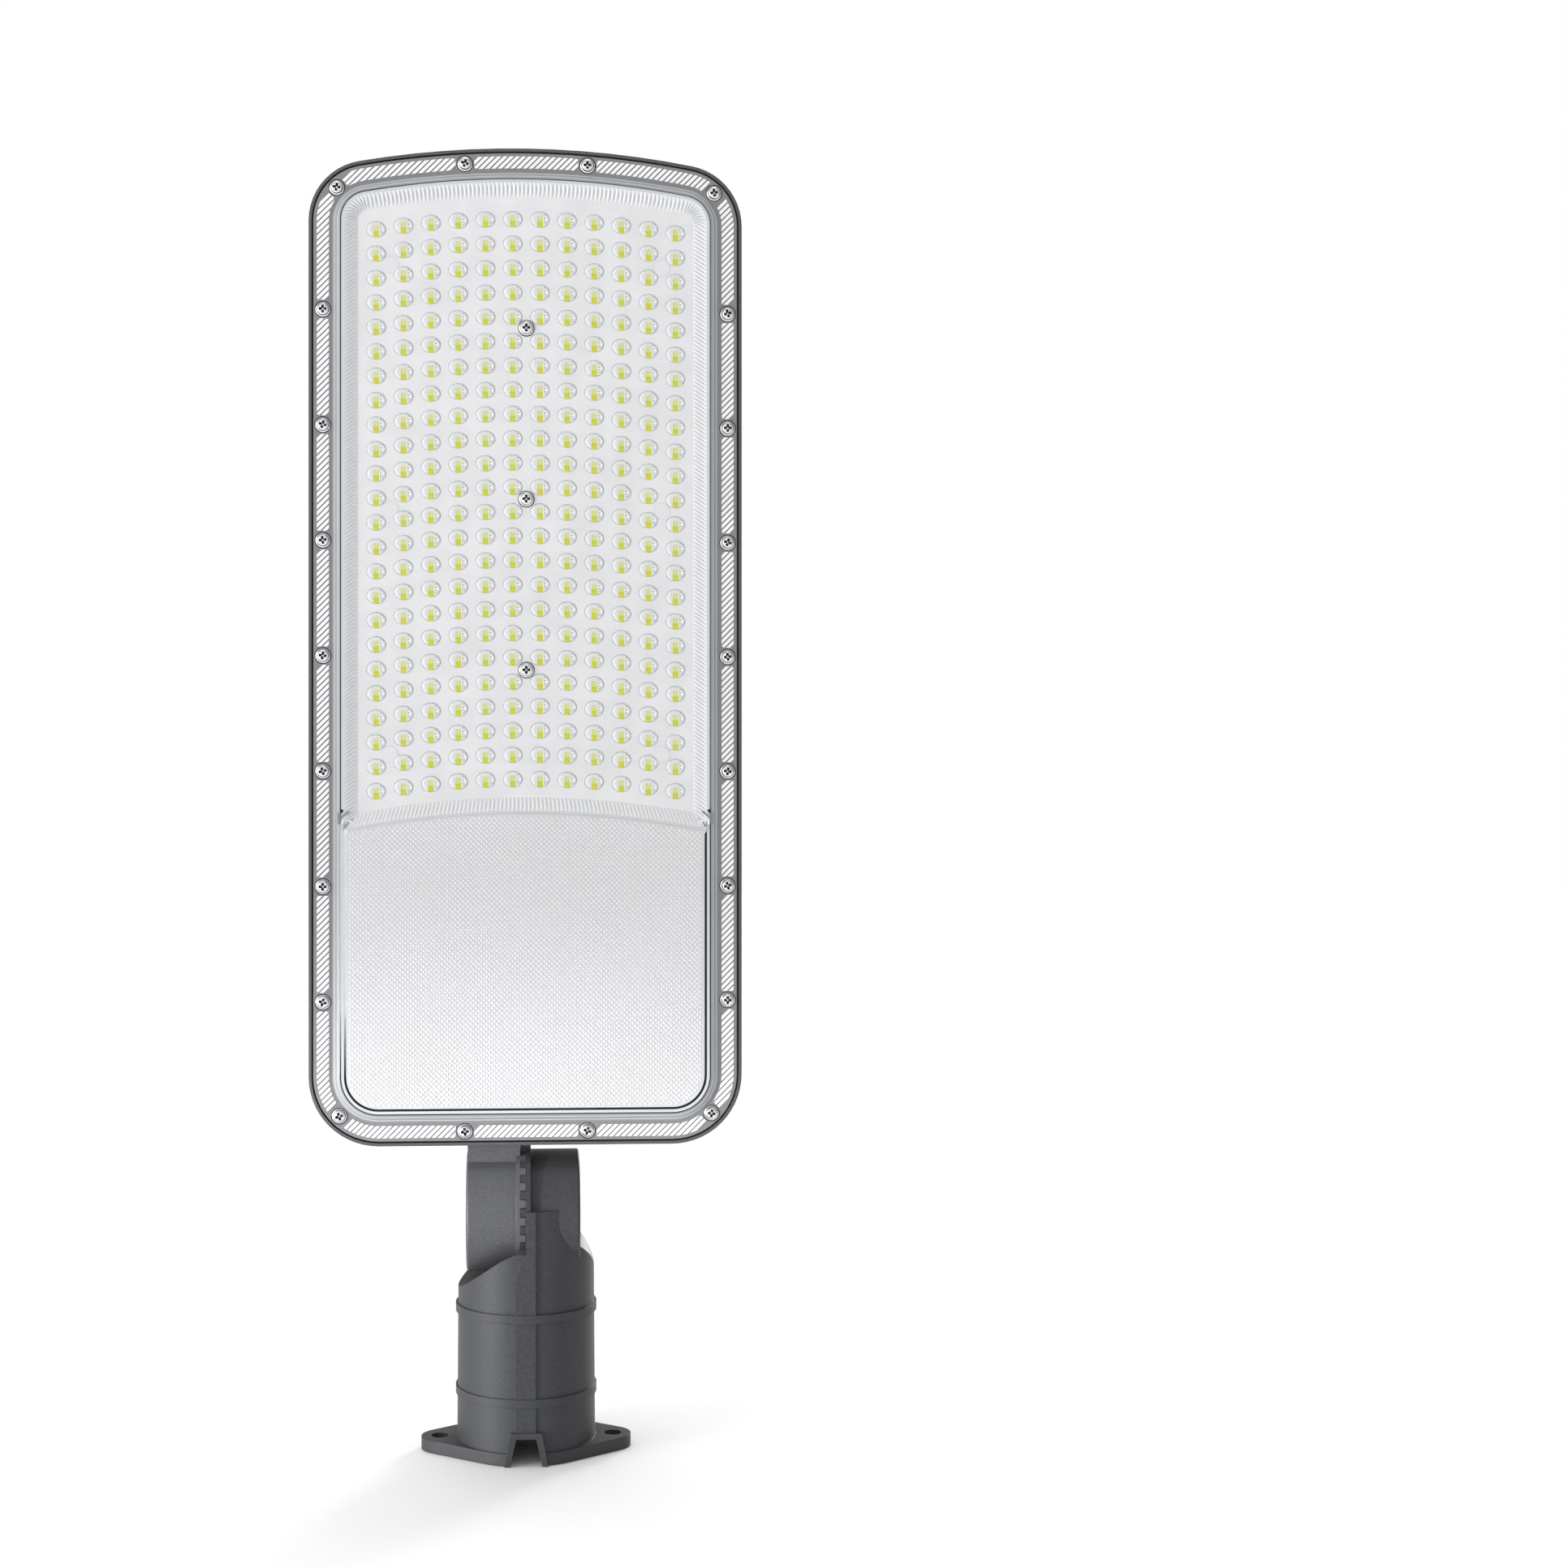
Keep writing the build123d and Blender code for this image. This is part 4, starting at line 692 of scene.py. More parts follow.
def fluted_clear(name):
    """Fluted clear plastic: painted shade along the valleys and a painted highlight along the crests, fading
    towards the field.
    """
    tree = Tree(name)
    wave, share, _ = tree.parts(tree.local)
    fade = tree.spread(share, 0.5, 1.0, 1.0, 0.1)
    painted_valley_shade = tree.both(tree.spread(wave, 0.3, 0.95), fade)
    crest = tree.both(tree.spread(wave, -0.2, -0.9), fade)
    # painted shade in the valleys, painted highlight on the crests
    colour = tree.blend(painted_valley_shade, tone(218, 219, 221), tone(188, 190, 193))
    tree.paint(tree.blend(crest, colour, tone(238, 239, 240)))
    tree.join(tree.spread(wave, -1.0, 1.0, 0.25, 0.36), "Roughness")
    tree.set(Coat_Weight=0.15)
    return tree.owner


def prismatic(name):
    """Plastic moulded with small prisms, each palest at its tip, a painted highlight."""
    tree = Tree(name)
    _, tip, _ = tree.parts(tree.local)
    waves = tree.noise(24)
    fine = tree.noise(1500)
    base = tree.blend(tree.spread(waves, 0.35, 0.65), tone(205, 205, 207), tone(208, 208, 211))
    # the prisms' tips are painted paler, a painted highlight
    tree.paint(tree.blend(tree.spread(tip, 0.25, 0.9), base, tone(236, 236, 239)))
    tree.rough(fine, 0.28, 0.36)
    tree.set(Coat_Weight=0.1)
    return tree.owner


def lens_reach(tree, aside, away):
    """How far out a place lies on a lens, from 0 at its middle to 1 at its edge."""
    across = tree.math("POWER", tree.math("DIVIDE", aside, LENS_HALF_WIDTH), 2.0)
    along = tree.math("POWER", tree.math("DIVIDE", away, LENS_HALF_HEIGHT), 2.0)
    return tree.math("SQRT", tree.math("ADD", across, along))


def lens_glow(tree, aside, away, along):
    """The phosphor as it shows through a lens: paler with a soft patch above, deep yellow below."""
    patch = tree.both(tree.spread(aside, 1.1, 0.9), tree.spread(away, 1.2, 0.9))
    upper = tree.blend(tree.math("MULTIPLY", patch, 0.5), tone(220, 227, 150), tone(224, 222, 176))
    return tree.blend(tree.spread(along, -0.85, -1.1), upper, tone(210, 213, 72))


def lens_clear(name):
    """A moulded lens: clear over its LED, with painted highlights and painted shade standing in for facets on
    both sides, and a thin painted dark rim.
    """
    tree = Tree(name)
    both, spread = tree.both, tree.spread
    across, along, _ = tree.parts(tree.local)
    aside, away = tree.math("ABSOLUTE", across), tree.math("ABSOLUTE", along)
    reach = lens_reach(tree, aside, away)
    patches = tree.noise(900)
    facets = tree.voronoi(1.25, tree.local)

    # masks of painted light and shade, by place on the lens in millimetres or by reach: a dark rim, a highlight
    # crescent and pale flanks, shade shards and specks, glints on the right, and grey lines at the middle
    # band's edges
    rim = both(spread(reach, 0.9, 0.94), spread(reach, 0.995, 0.96))
    rim = both(rim, spread(patches, 0.36, 0.62, 0.25, 1.0))
    inside = spread(reach, 0.9, 0.84)
    left = both(spread(across, -1.9, -2.3), inside)
    right = both(spread(across, 1.9, 2.3), inside)
    painted_highlight_crescent = both(left, spread(reach, 0.62, 0.72))
    wall = both(spread(aside, 1.85, 1.95), spread(aside, 2.3, 2.15))
    wall = both(wall, spread(away, 3.4, 2.8))
    painted_highlight_flanks = both(spread(aside, 1.55, 1.62), spread(aside, 1.9, 1.8))
    painted_highlight_flanks = both(painted_highlight_flanks, spread(away, 3.2, 2.9))
    painted_shade_shard = spread(facets, 0.16, 0.32, 1.0, 0.0)
    painted_glint = spread(facets, 0.46, 0.6)
    # dark specks of painted shade, on the right and faintly on the left
    speck = spread(both(patches, facets), 0.06, 0.1, 1.0, 0.0)

    # painted shade and painted highlights laid over each other; the right side is painted darker than the left
    colour = tone(221, 222, 224)
    for mask, shade in (
        (right, tone(210, 211, 214)),
        (both(right, painted_shade_shard), tone(160, 164, 167)),
        (both(right, painted_glint), tone(244, 245, 246)),
        (both(right, speck), tone(112, 115, 118)),
        (both(left, painted_shade_shard), tone(198, 200, 203)),
        (tree.math("MULTIPLY", painted_highlight_crescent, 0.6), tone(238, 239, 241)),
        (both(left, tree.math("MULTIPLY", speck, 0.5)), tone(150, 152, 156)),
        (tree.math("MULTIPLY", wall, 0.6), tone(186, 188, 192)),
        (painted_highlight_flanks, tone(240, 241, 242)),
        (rim, tone(164, 167, 170)),
    ):
        colour = tree.blend(mask, colour, shade)

    over_led = tree.math("ABSOLUTE", tree.math("ADD", along, LENS_RISE))
    window = both(spread(aside, 1.56, 1.5), spread(over_led, 2.9, 2.8))
    tree.paint(tree.blend(window, colour, lens_glow(tree, aside, away, along)))
    tree.join(spread(window, 0.0, 1.0, 0.95, 0.85), "Alpha")
    tree.join(spread(facets, 0.0, 0.5, 0.2, 0.3), "Roughness")
    return tree.owner


def phosphor(name):
    """Phosphor in its frame: its lower half deeper than its upper half."""
    tree = Tree(name)
    _, along, _ = tree.parts(tree.local)
    speck = tree.noise(2500)
    colour = tree.blend(tree.spread(along, 0.05, -0.25), tone(232, 238, 160), tone(218, 218, 66))
    tree.paint(tree.blend(tree.spread(speck, 0.4, 0.7, 0.0, 0.2), colour, tone(226, 228, 160)))
    tree.rough(speck, 0.32, 0.45)
    tree.bump(speck, 0.00003, 0.3)
    return tree.owner


# -------- cover


def make_cover_frame():
    """The cover's flange, sloped ridge and crest, with the seats for its screws."""
    flange, ridge, dark, pale, seal_and_gap_shade = range(5)
    # the narrow pale faces of the ridge's two steps are painted highlight lines
    step = (pale, ridge)
    profile = [
        (SEAL_INSET, COVER_BACK_Y, seal_and_gap_shade),
        (SEAL_INSET, COVER_BACK_Y - SEAL_RISE, seal_and_gap_shade),
        (COVER_INSET, COVER_BACK_Y - SEAL_RISE, seal_and_gap_shade),
        (COVER_INSET, COVER_FRONT_Y + EDGE, flange),
        (COVER_INSET + EDGE, COVER_FRONT_Y, flange),
        (RIDGE_FOOT, COVER_FRONT_Y, ridge),
        *[(RIDGE_FOOT + inset, COVER_FRONT_Y - y, kind) for (inset, y), kind in zip(LOWER_STEP, step)],
        *[(RIDGE_CREST - inset, RIDGE_Y + y, kind) for (inset, y), kind in zip(UPPER_STEP, step)],
        (RIDGE_CREST - EDGE, RIDGE_Y + EDGE / 2, ridge),
        (RIDGE_CREST, RIDGE_Y, ridge),
        (GROOVE_OUTER, RIDGE_Y, dark),
        (GROOVE_OUTER + GROOVE_DRAFT, RIDGE_Y + GROOVE_DEPTH, dark),
        (GROOVE_INNER - GROOVE_DRAFT, RIDGE_Y + GROOVE_DEPTH, dark),
        (GROOVE_INNER, RIDGE_Y, pale),
        (CREST_INNER, RIDGE_Y, dark),
        (CREST_INNER, COVER_BACK_Y - EDGE, ridge),
        (RIDGE_FOOT, COVER_BACK_Y, flange),
    ]
    soup = Soup()
    ring(soup, head_path(), profile)
    materials = [
        moulded("cover_flange_plastic", tone(130, 130, 133), 0.4, coat=0.1, cloud=0.97),
        moulded("cover_ridge_plastic", tone(154, 155, 159), 0.34, coat=0.1, cloud=0.98),
        # groove bottom and crest wall: painted shade on the right and at the bottom, painted light on the far
        # left
        groove_painted_shading(
            "cover_groove_painted_shading", tone(90, 96, 102), tone(140, 145, 150), tone(240, 244, 248), tone(34, 37, 41)
        ),
        moulded("cover_crest_plastic", tone(200, 205, 210), 0.34, coat=0.1, cloud=0.98),
        # black seal lip: partly a real rubber lip, partly painted shade standing in for the shadow in the gap
        # round the cover
        moulded("cover_seal_and_gap_shade", tone(16, 16, 17), 0.8, 900, 0.0001),
    ]
    piece = cover_piece("cover_frame", soup, materials)
    seats = Soup()
    seat = [(SCREW_SEAT_R, COVER_FRONT_Y + depth) for depth in (-SCREW_SEAT_ROOM, SCREW_SEAT_DEPTH)]
    for point in cover_screw_points():
        lathe(seats, point, seat, SCREW_SEAT_SEGMENTS)
    carve(piece, seats)
    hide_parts("lens_cover")


def strip_direction(x, z):
    """The way the hatched strip runs at a screw."""
    step = 0.5
    slope_x = head_inset_at(x + step, z) - head_inset_at(x - step, z)
    slope_z = head_inset_at(x, z + step) - head_inset_at(x, z - step)
    length = math.hypot(slope_x, slope_z)
    return -slope_z / length, slope_x / length


def inside_runs(x, z, screws):
    """Where a sampled line lies on the hatched strip, as (first, last) indexes."""
    inset = head_inset(x, z)
    inside = (inset > HATCH_OUTER) & (inset < HATCH_INNER)
    for screw_x, screw_z in screws:
        over_x, over_z = strip_direction(screw_x, screw_z)
        along = np.abs((x - screw_x) * over_x + (z - screw_z) * over_z)
        across = np.abs((z - screw_z) * over_x - (x - screw_x) * over_z)
        inside &= (along > HATCH_STOP) | (across > HATCH_REACH)
    turns = np.flatnonzero(np.diff(np.concatenate(([0], inside.astype(int), [0]))))
    return [(a, b - 1) for a, b in zip(turns[::2], turns[1::2])]


def add_rib(soup, corners):
    """One rib from its four (x, z) corners, a little narrower at its top than at its foot."""
    middle = sum(corners) / 4
    verts = [(p[0], COVER_FRONT_Y, p[1]) for p in corners]
    for p in corners:
        inward = middle - p
        top = p + inward / np.linalg.norm(inward) * HATCH_EDGE
        verts.append((top[0], COVER_FRONT_Y - HATCH_HEIGHT, top[1]))
    soup.add(verts, [(4, 5, 6, 7), (3, 2, 1, 0)] + bands(2, 4))


def make_hatching():
    """The slanting ribs moulded on the cover's flange, all at one angle, clear of the screws."""
    soup = Soup()
    screws = cover_screw_points()
    slope = np.array((1.0, 1.0)) / math.sqrt(2)
    across = np.array((-1.0, 1.0)) / math.sqrt(2)
    reach = np.arange(0.0, 2 * HALF_WIDTH * math.sqrt(2), HATCH_SAMPLE)
    start_z = HEAD_LOW - 2 * HALF_WIDTH
    for i in range(int((HEAD_TOP - start_z) / HATCH_RISE)):
        root = np.array((-HALF_WIDTH, start_z + i * HATCH_RISE))
        sides = []
        for side in (-1, 1):
            points = root + across * side * HATCH_HALF_WIDTH + reach[:, None] * slope
            sides.append((points, inside_runs(points[:, 0], points[:, 1], screws)))
        (lower, lower_runs), (upper, upper_runs) = sides
        for a, b in lower_runs:
            for c, d in upper_runs:
                if min(b, d) - max(a, c) >= HATCH_SHORTEST:
                    add_rib(soup, [lower[a], lower[b], upper[d], upper[c]])
    # the clear ribs are painted white, a painted reflection of the light they catch
    white = moulded("hatch_white_painted_reflection", tone(250, 250, 250), 0.3, coat=0.3)
    cover_piece("cover_hatching", soup, [white], smooth=False)


def make_fluted_wall():
    """The sloping wall round the LED field, with flutes square to its edge."""
    path = field_path(FLUTE_PITCH / FLUTE_STEPS)
    rows = FLUTE_ROWS
    verts, uvs, length, last = [], [], 0.0, path[-1][0]
    for p, n in path:
        length += float(np.hypot(*(p - last)))
        last = p
        on_sill = max(n[1], 0.0) ** 2
        slant = FLUTE_SLANT * (n[0] * abs(n[0]) + on_sill * p[0] / (HALF_WIDTH - CREST_INNER))
        strength = 1.0 - (1.0 - SILL_FLUTE_SHARE) * on_sill
        for row in range(rows + 1):
            share = row / rows
            wave = math.cos(2 * math.pi * (length + slant * share) / FLUTE_PITCH)
            inset = share * FLUTE_WIDTH
            swell = strength * min(1.0, FLUTE_FADE * share, FLUTE_FADE * (1 - share))
            drop = share * LENS_FRONT_DROP + FLUTE_DEPTH * wave * swell
            verts.append((p[0] + n[0] * inset, RIDGE_Y + drop, p[1] + n[1] * inset))
            uvs.append((wave * swell, share))
    faces = []
    for i in range(len(path)):
        a, b = i * (rows + 1), (i + 1) % len(path) * (rows + 1)
        faces += [(a + j, b + j, b + j + 1, a + j + 1) for j in range(rows)]
    soup = Soup()
    soup.add(verts, faces, 0, uvs)
    cover_piece("cover_fluted_wall", soup, [fluted_clear("fluted_plastic")])


# -------- light field


def make_field_sheet():
    """The sheet over the light field inside the fluted wall, with an oval hole for each lens."""
    loops = [[(p[0] + n[0] * FLUTE_WIDTH, p[1] + n[1] * FLUTE_WIDTH) for p, n in field_path(FIELD_STEP)]]
    for x, z in led_points():
        loops.append(oval((x, z + LENS_RISE), LENS_HALF_WIDTH, LENS_HALF_HEIGHT, LENS_SEGMENTS))
    bm = bmesh.new()
    for y in (LENS_FRONT_Y, LENS_FRONT_Y + LENS_THICKNESS):
        edges = []
        for loop in loops:
            verts = [bm.verts.new((x, y, z)) for x, z in loop]
            edges += [bm.edges.new((verts[i - 1], verts[i])) for i in range(len(verts))]
        bmesh.ops.triangle_fill(bm, edges=edges, use_beauty=True, normal=(0, -1, 0))
    bm.verts.ensure_lookup_table()
    start, half = 0, sum(len(loop) for loop in loops)
    for loop in loops:
        for i in range(len(loop)):
            a, b = start + i, start + (i + 1) % len(loop)
            bm.faces.new([bm.verts[k] for k in (a, b, b + half, a + half)])
        start += len(loop)
    bm.faces.index_update()
    bm.verts.index_update()
    soup = Soup()
    soup.add([v.co for v in bm.verts], [[v.index for v in f.verts] for f in bm.faces])
    bm.free()
    cover_piece("cover_field_sheet", soup, [frosted_sheet("field_plastic")], smooth=False)


def lens_height(x, z):
    """How high a lens stands at (x, z) from its centre: an oval dome with a saddle over its LED."""
    reach = math.hypot(x / LENS_HALF_WIDTH, z / LENS_HALF_HEIGHT)
    dome = max(0.0, 1 - reach**LENS_SHOULDER) ** LENS_ROUNDNESS
    saddle = math.exp(-((x / LENS_SADDLE_WIDTH) ** 2)) * max(0.0, 1 - reach**2)
    return LENS_HEIGHT * dome - LENS_SADDLE * saddle


def make_lenses():
    """A lens over each LED, moulded on the clear sheet."""
    soup = Soup()
    segments = LENS_SEGMENTS
    shares = (LENS_FOOT_SHARE, *LENS_RINGS)
    foot = LENS_FRONT_Y + LENS_THICKNESS - LENS_FOOT_RISE
    for x, z in led_points():
        verts, uvs = [], []
        for share in shares:
            for u, v in oval((0, 0), LENS_HALF_WIDTH * share, LENS_HALF_HEIGHT * share, segments):
                y = foot if len(verts) < segments else LENS_FRONT_Y - lens_height(u, v)
                verts.append((x + u, y, z + LENS_RISE + v))
                uvs.append((u, v))
        verts.append((x, LENS_FRONT_Y - lens_height(0, 0), z + LENS_RISE))
        uvs.append((0, 0))
        last = len(LENS_RINGS) * segments
        faces = bands(len(shares), segments)
        faces += [(last + i, last + (i + 1) % segments, len(verts) - 1) for i in range(segments)]
        faces.append(tuple(range(segments)))
        soup.add(verts, faces, 0, uvs)
    cover_piece("led_lenses", soup, [lens_clear("lens_clear")], sharp=60)


def make_emitters():
    """The phosphor block of each LED."""
    low, high = box_mm("led_chips")
    soup = Soup()
    for x, z in led_points():
        verts, uvs = [], []
        for inset, y in ((0.0, high.y), (0.0, low.y + PHOSPHOR_EDGE), (PHOSPHOR_EDGE, low.y)):
            u, v = PHOSPHOR_HALF_WIDTH - inset, PHOSPHOR_HALF_HEIGHT - inset
            for side, rise in ((-u, -v), (u, -v), (u, v), (-u, v)):
                verts.append((x + side, y, z + rise))
                uvs.append((side, rise))
        soup.add(verts, [(3, 2, 1, 0), (8, 9, 10, 11)] + bands(3, 4), 0, uvs)
    piece = make_piece("led_emitters", soup, "head", "led_phosphor", [phosphor("phosphor")], smooth=False)
    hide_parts("led_chips")


# -------- lower window


def add_panel_plate(soup, face):
    """The window's plate and the groove round it, which runs out along the sill."""
    pale, dark = 0, 1
    floor = RIDGE_Y + PANEL_GROOVE_DEPTH
    profile = [
        (0.0, RIDGE_Y + PANEL_BACK, dark),
        (0.0, floor, dark),
        (PANEL_GROOVE, floor, dark),
        (PANEL_GROOVE, face + PANEL_EDGE, pale),
        (PANEL_GROOVE + PANEL_EDGE, face, pale),
    ]

    def fill_sill(point, y):
        on_sill = sill_drop(*point) < PANEL_GROOVE
        return face if on_sill and abs(y - floor) < EDGE else y

    slab(soup, panel_path(PANEL_STEP), profile, pale, fill_sill)
    for i, corners in enumerate(soup.faces):
        drops = [sill_drop(soup.verts[k][0], soup.verts[k][2]) for k in corners]
        if min(drops) < PANEL_GROOVE and max(drops) < 2 * PANEL_GROOVE:
            soup.slots[i] = pale


def make_panel():
    """The lower window: a plate behind a narrow groove, its face a lattice of small prisms."""
    soup = Soup()
    face = RIDGE_Y + PANEL_DROP
    add_panel_plate(soup, face)
    half = PANEL_PITCH * 0.5
    reach = half * PRISM_SHARE
    rows = int((FIELD_SILL - HEAD_LOW) / half)
    columns = int(HALF_WIDTH / half)
    foot, tip = (0.0, 0.0), (0.0, 1.0)
    for row in range(rows):
        for column in range(-columns + (row + columns) % 2, columns + 1, 2):
            x, z = column * half, HEAD_LOW + row * half
            margin = min(head_inset_at(x, z) - CREST_INNER, sill_drop(x, z) - PANEL_SILL_GAP)
            if margin < PANEL_GROOVE + half:
                continue
            verts = [(x - reach, face, z), (x, face, z - reach), (x + reach, face, z), (x, face, z + reach)]
            verts.append((x, face - PANEL_RELIEF, z))
            faces = [(0, 1, 4), (1, 2, 4), (2, 3, 4), (3, 0, 4), (3, 2, 1, 0)]
            soup.add(verts, faces, 0, [foot, foot, foot, foot, tip])
    pale = prismatic("panel_plastic")
    dark = groove_painted_shading(
        "panel_groove", tone(42, 46, 50), tone(42, 46, 50), tone(250, 252, 254), tone(24, 26, 29)
    )
    cover_piece("cover_lower_window", soup, [pale, dark], smooth=False)


def make_clips():
    """The small hooks at the lower window's two upper corners, with a dark notch of painted shade at each and a
    painted highlight on each hook.

    Each shape is an outline of (inset, rise) points, from the head's side and the end of the sill, then its
    height over the crest.
    """
    grey_part, notch, bright, wire, web = range(5)
    shapes = (
        (((15.0, 2.6), (16.1, 2.4), (16.7, 4.6), (16.4, 8.4), (15.0, 8.4)), 0.3, grey_part),
        # the notch is a dark block of painted shade
        (((16.2, 8.3), (17.0, 8.0), (18.0, 9.6), (16.4, 10.2)), 0.2, notch),
        (((16.5, 5.2), (18.0, 6.4), (20.9, 8.6), (20.6, 9.2), (17.4, 7.2)), 0.2, grey_part),
        # a painted highlight on the hook
        (((16.6, 2.6), (17.3, 2.4), (18.2, 4.4), (17.2, 5.2)), 0.24, bright),
        (((17.2, -0.6), (18.1, -0.6), (18.2, 2.4), (17.3, 2.2)), 0.24, wire),
        (((18.0, -1.0), (22.4, 0.2), (23.2, 3.8), (18.4, 5.6)), -0.5, web),
        (((18.4, 1.0), (19.0, 1.0), (20.6, 3.4), (20.0, 3.8)), 0.1, grey_part),
    )
    soup = Soup()
    sill = FIELD_SILL - arc_drop(HALF_WIDTH - CREST_INNER)
    for side in (-1, 1):
        for outline, height, kind in shapes:
            points = [(side * (HALF_WIDTH - inset), sill + rise) for inset, rise in outline]
            prism(soup, points, RIDGE_Y - height, RIDGE_Y + CLIP_DEPTH, kind)
    materials = [
        moulded("clip_plastic", tone(128, 129, 132), 0.35),
        moulded("clip_notch_painted_shade", tone(22, 22, 24), 0.6),
        moulded("clip_painted_highlight", tone(240, 242, 244), 0.3),
        moulded("clip_wire", tone(176, 182, 188), 0.35),
        moulded("clip_web", tone(221, 222, 224), 0.35),
    ]
    cover_piece("cover_clips", soup, materials, smooth=False)


def make_pads():
    """The six round moulding pads, faint between the lenses."""
    soup = Soup()
    rim = [
        (PAD_R, LENS_FRONT_Y + PAD_DEPTH),
        (PAD_R, LENS_FRONT_Y - PAD_SHOULDER),
        (PAD_R - PAD_EDGE, LENS_FRONT_Y - PAD_HEIGHT),
    ]
    face_r = PAD_R - PAD_FACE_INSET
    face = [(face_r, LENS_FRONT_Y), (face_r, LENS_FRONT_Y - PAD_FACE_HEIGHT)]
    for side in (-1, 1):
        for i in range(PAD_ROWS):
            centre = (side * PAD_X, FIELD_SILL + PAD_RISE + i * PAD_PITCH)
            lathe(soup, centre, rim, PAD_SEGMENTS)
            lathe(soup, centre, face, PAD_SEGMENTS, 1)
    materials = [
        moulded("field_pad_rim", tone(211, 212, 215), 0.3, cloud=0.98),
        moulded("field_pad", tone(222, 222, 224), 0.3, cloud=0.985),
    ]
    cover_piece("field_pads", soup, materials)


# -------- screws


def cross_radius(angle):
    """The radius of a cross recess's edge at an angle."""
    angle = angle % QUARTER
    angle = min(angle, QUARTER - angle)
    corner = math.atan2(CROSS_HALF_WIDTH, CROSS_REACH)
    if angle <= corner:
        return CROSS_REACH / math.cos(angle)
    return CROSS_HALF_WIDTH / math.sin(angle)


def cross_angles():
    """Angles round a screw head that catch the corners of its cross."""
    corner = math.degrees(math.atan2(CROSS_HALF_WIDTH, CROSS_REACH))
    quadrant = (0, corner / 2, corner, 22, 32, 45, 58, 68, 90 - corner, 90 - corner / 2)
    return [math.radians(turn * 90 + angle) for turn in range(4) for angle in quadrant]


def screw(soup, centre, seat_y, turn):
    """A pan head with a washer and a cross recess, and its shank.

    Each row of the profile is (radius, share of the cross's radius, y, material of the band that follows).
    """
    x, z = centre
    bright, dark = 0, 1
    front = seat_y - SCREW_HEAD_HEIGHT
    washer_y = seat_y - WASHER_THICKNESS
    profile = [
        (SCREW_SHANK_R, 0, seat_y + SCREW_SHANK_LENGTH, bright),
        (SCREW_SHANK_R, 0, seat_y, dark),
        (WASHER_R, 0, seat_y, dark),
        (WASHER_R, 0, washer_y, dark),
        (SCREW_HEAD_R, 0, washer_y, bright),
        *[(SCREW_HEAD_R - inset, 0, front + depth, bright) for inset, depth in SCREW_SKIRT],
        (SCREW_DOME_R, 0, front + SCREW_DOME_DEPTH, dark),
        *[(radius, 0, front + depth, bright) for radius, depth in SCREW_DOME],
        (0, 1, front, dark),
        *[(0, share, front + CROSS_DEPTH, dark) for share in CROSS_FLOOR],
    ]
    angles = cross_angles()
    verts = []
    for radius, share, y, _ in profile:
        for angle in angles:
            r = radius + share * cross_radius(angle)
            verts.append((x + r * math.cos(angle + turn), y, z + r * math.sin(angle + turn)))
    count, rings = len(angles), len(profile)
    slots = [bright, bright] + [slot for *_, slot in profile[:-1] for _ in range(count)]
    soup.add(verts, ends(rings, count) + bands(rings, count), slots)


def make_screws():
    """The screws of the cover, each turned a little, and those of the centre line."""
    bright = steel("screw_steel", tone(246, 246, 247), 0.3)
    shade = moulded("screw_recess", tone(11, 11, 12), 0.7, 900, 0.00008)
    soup = Soup()
    for i, point in enumerate(cover_screw_points()):
        screw(soup, point, COVER_FRONT_Y + SCREW_SEAT_DEPTH, SCREW_TURN * ((i * 7) % 5 - 2))
    cover = make_piece("cover_screw_heads", soup, "head", "stainless_steel", [bright, shade], sharp=30)
    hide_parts("cover_screws")
    soup = Soup()
    for point in lens_screw_points():
        screw(soup, point, LENS_FRONT_Y, 0.0)
    centre = make_piece("lens_screw_heads", soup, "head", "stainless_steel", [bright, shade], sharp=30)
    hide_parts("lens_screws")


# -------- CAD nodes' materials


def dress_nodes():
    """Gives every CAD node that still shows its material."""
    cast = powder_coat("head_powder_coat", tone(91, 92, 95))
    adaptor = powder_coat("adaptor_powder_coat", tone(64, 65, 67))
    stainless = steel("bolt_steel", tone(168, 169, 172), 0.34)
    zinc = steel("zinc_steel", tone(188, 190, 196), 0.34)
    finishes = {
        "head_housing": cast,
        "pole_adaptor": adaptor,
        **dict.fromkeys(("pivot_bolt", "pivot_washer", "spring_washer"), stainless),
        **dict.fromkeys(("clamp_screw_lower", "clamp_screw_upper"), stainless),
        **dict.fromkeys(("pivot_nut", "bay_plate_screws", "controller_screws"), zinc),
        "cover_gasket": moulded("gasket_rubber", tone(38, 38, 40), 0.7, 900, 0.00012),
        "thermal_pad": moulded("thermal_pad", tone(150, 160, 172), 0.8, 1200, 0.0001),
        "led_board": solder_mask("led_board", tone(236, 237, 239), 0.45),
        "bay_plate": steel("plate_aluminium", tone(196, 198, 202), 0.38),
        "battery_cells": moulded("cell_wrap", tone(60, 110, 150), 0.35, coat=0.3),
        "battery_tray": moulded("tray_plastic", tone(52, 54, 58), 0.5),
        "cell_links": steel("nickel", tone(200, 196, 188), 0.3),
        "controller_board": solder_mask("controller_board", tone(36, 92, 58), 0.4),
        "controller_parts": moulded("circuit_parts", tone(44, 45, 48), 0.5),
        "terminal_block": moulded("terminal_plastic", tone(60, 130, 80), 0.5),
        "cable_grommet": moulded("grommet_rubber", tone(34, 34, 36), 0.75, 900, 0.00012),
    }
    for name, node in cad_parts.items():
        for material_slot in node.material_slots:
            material_slot.material = finishes.get(name, material_slot.material)


# -------- studio


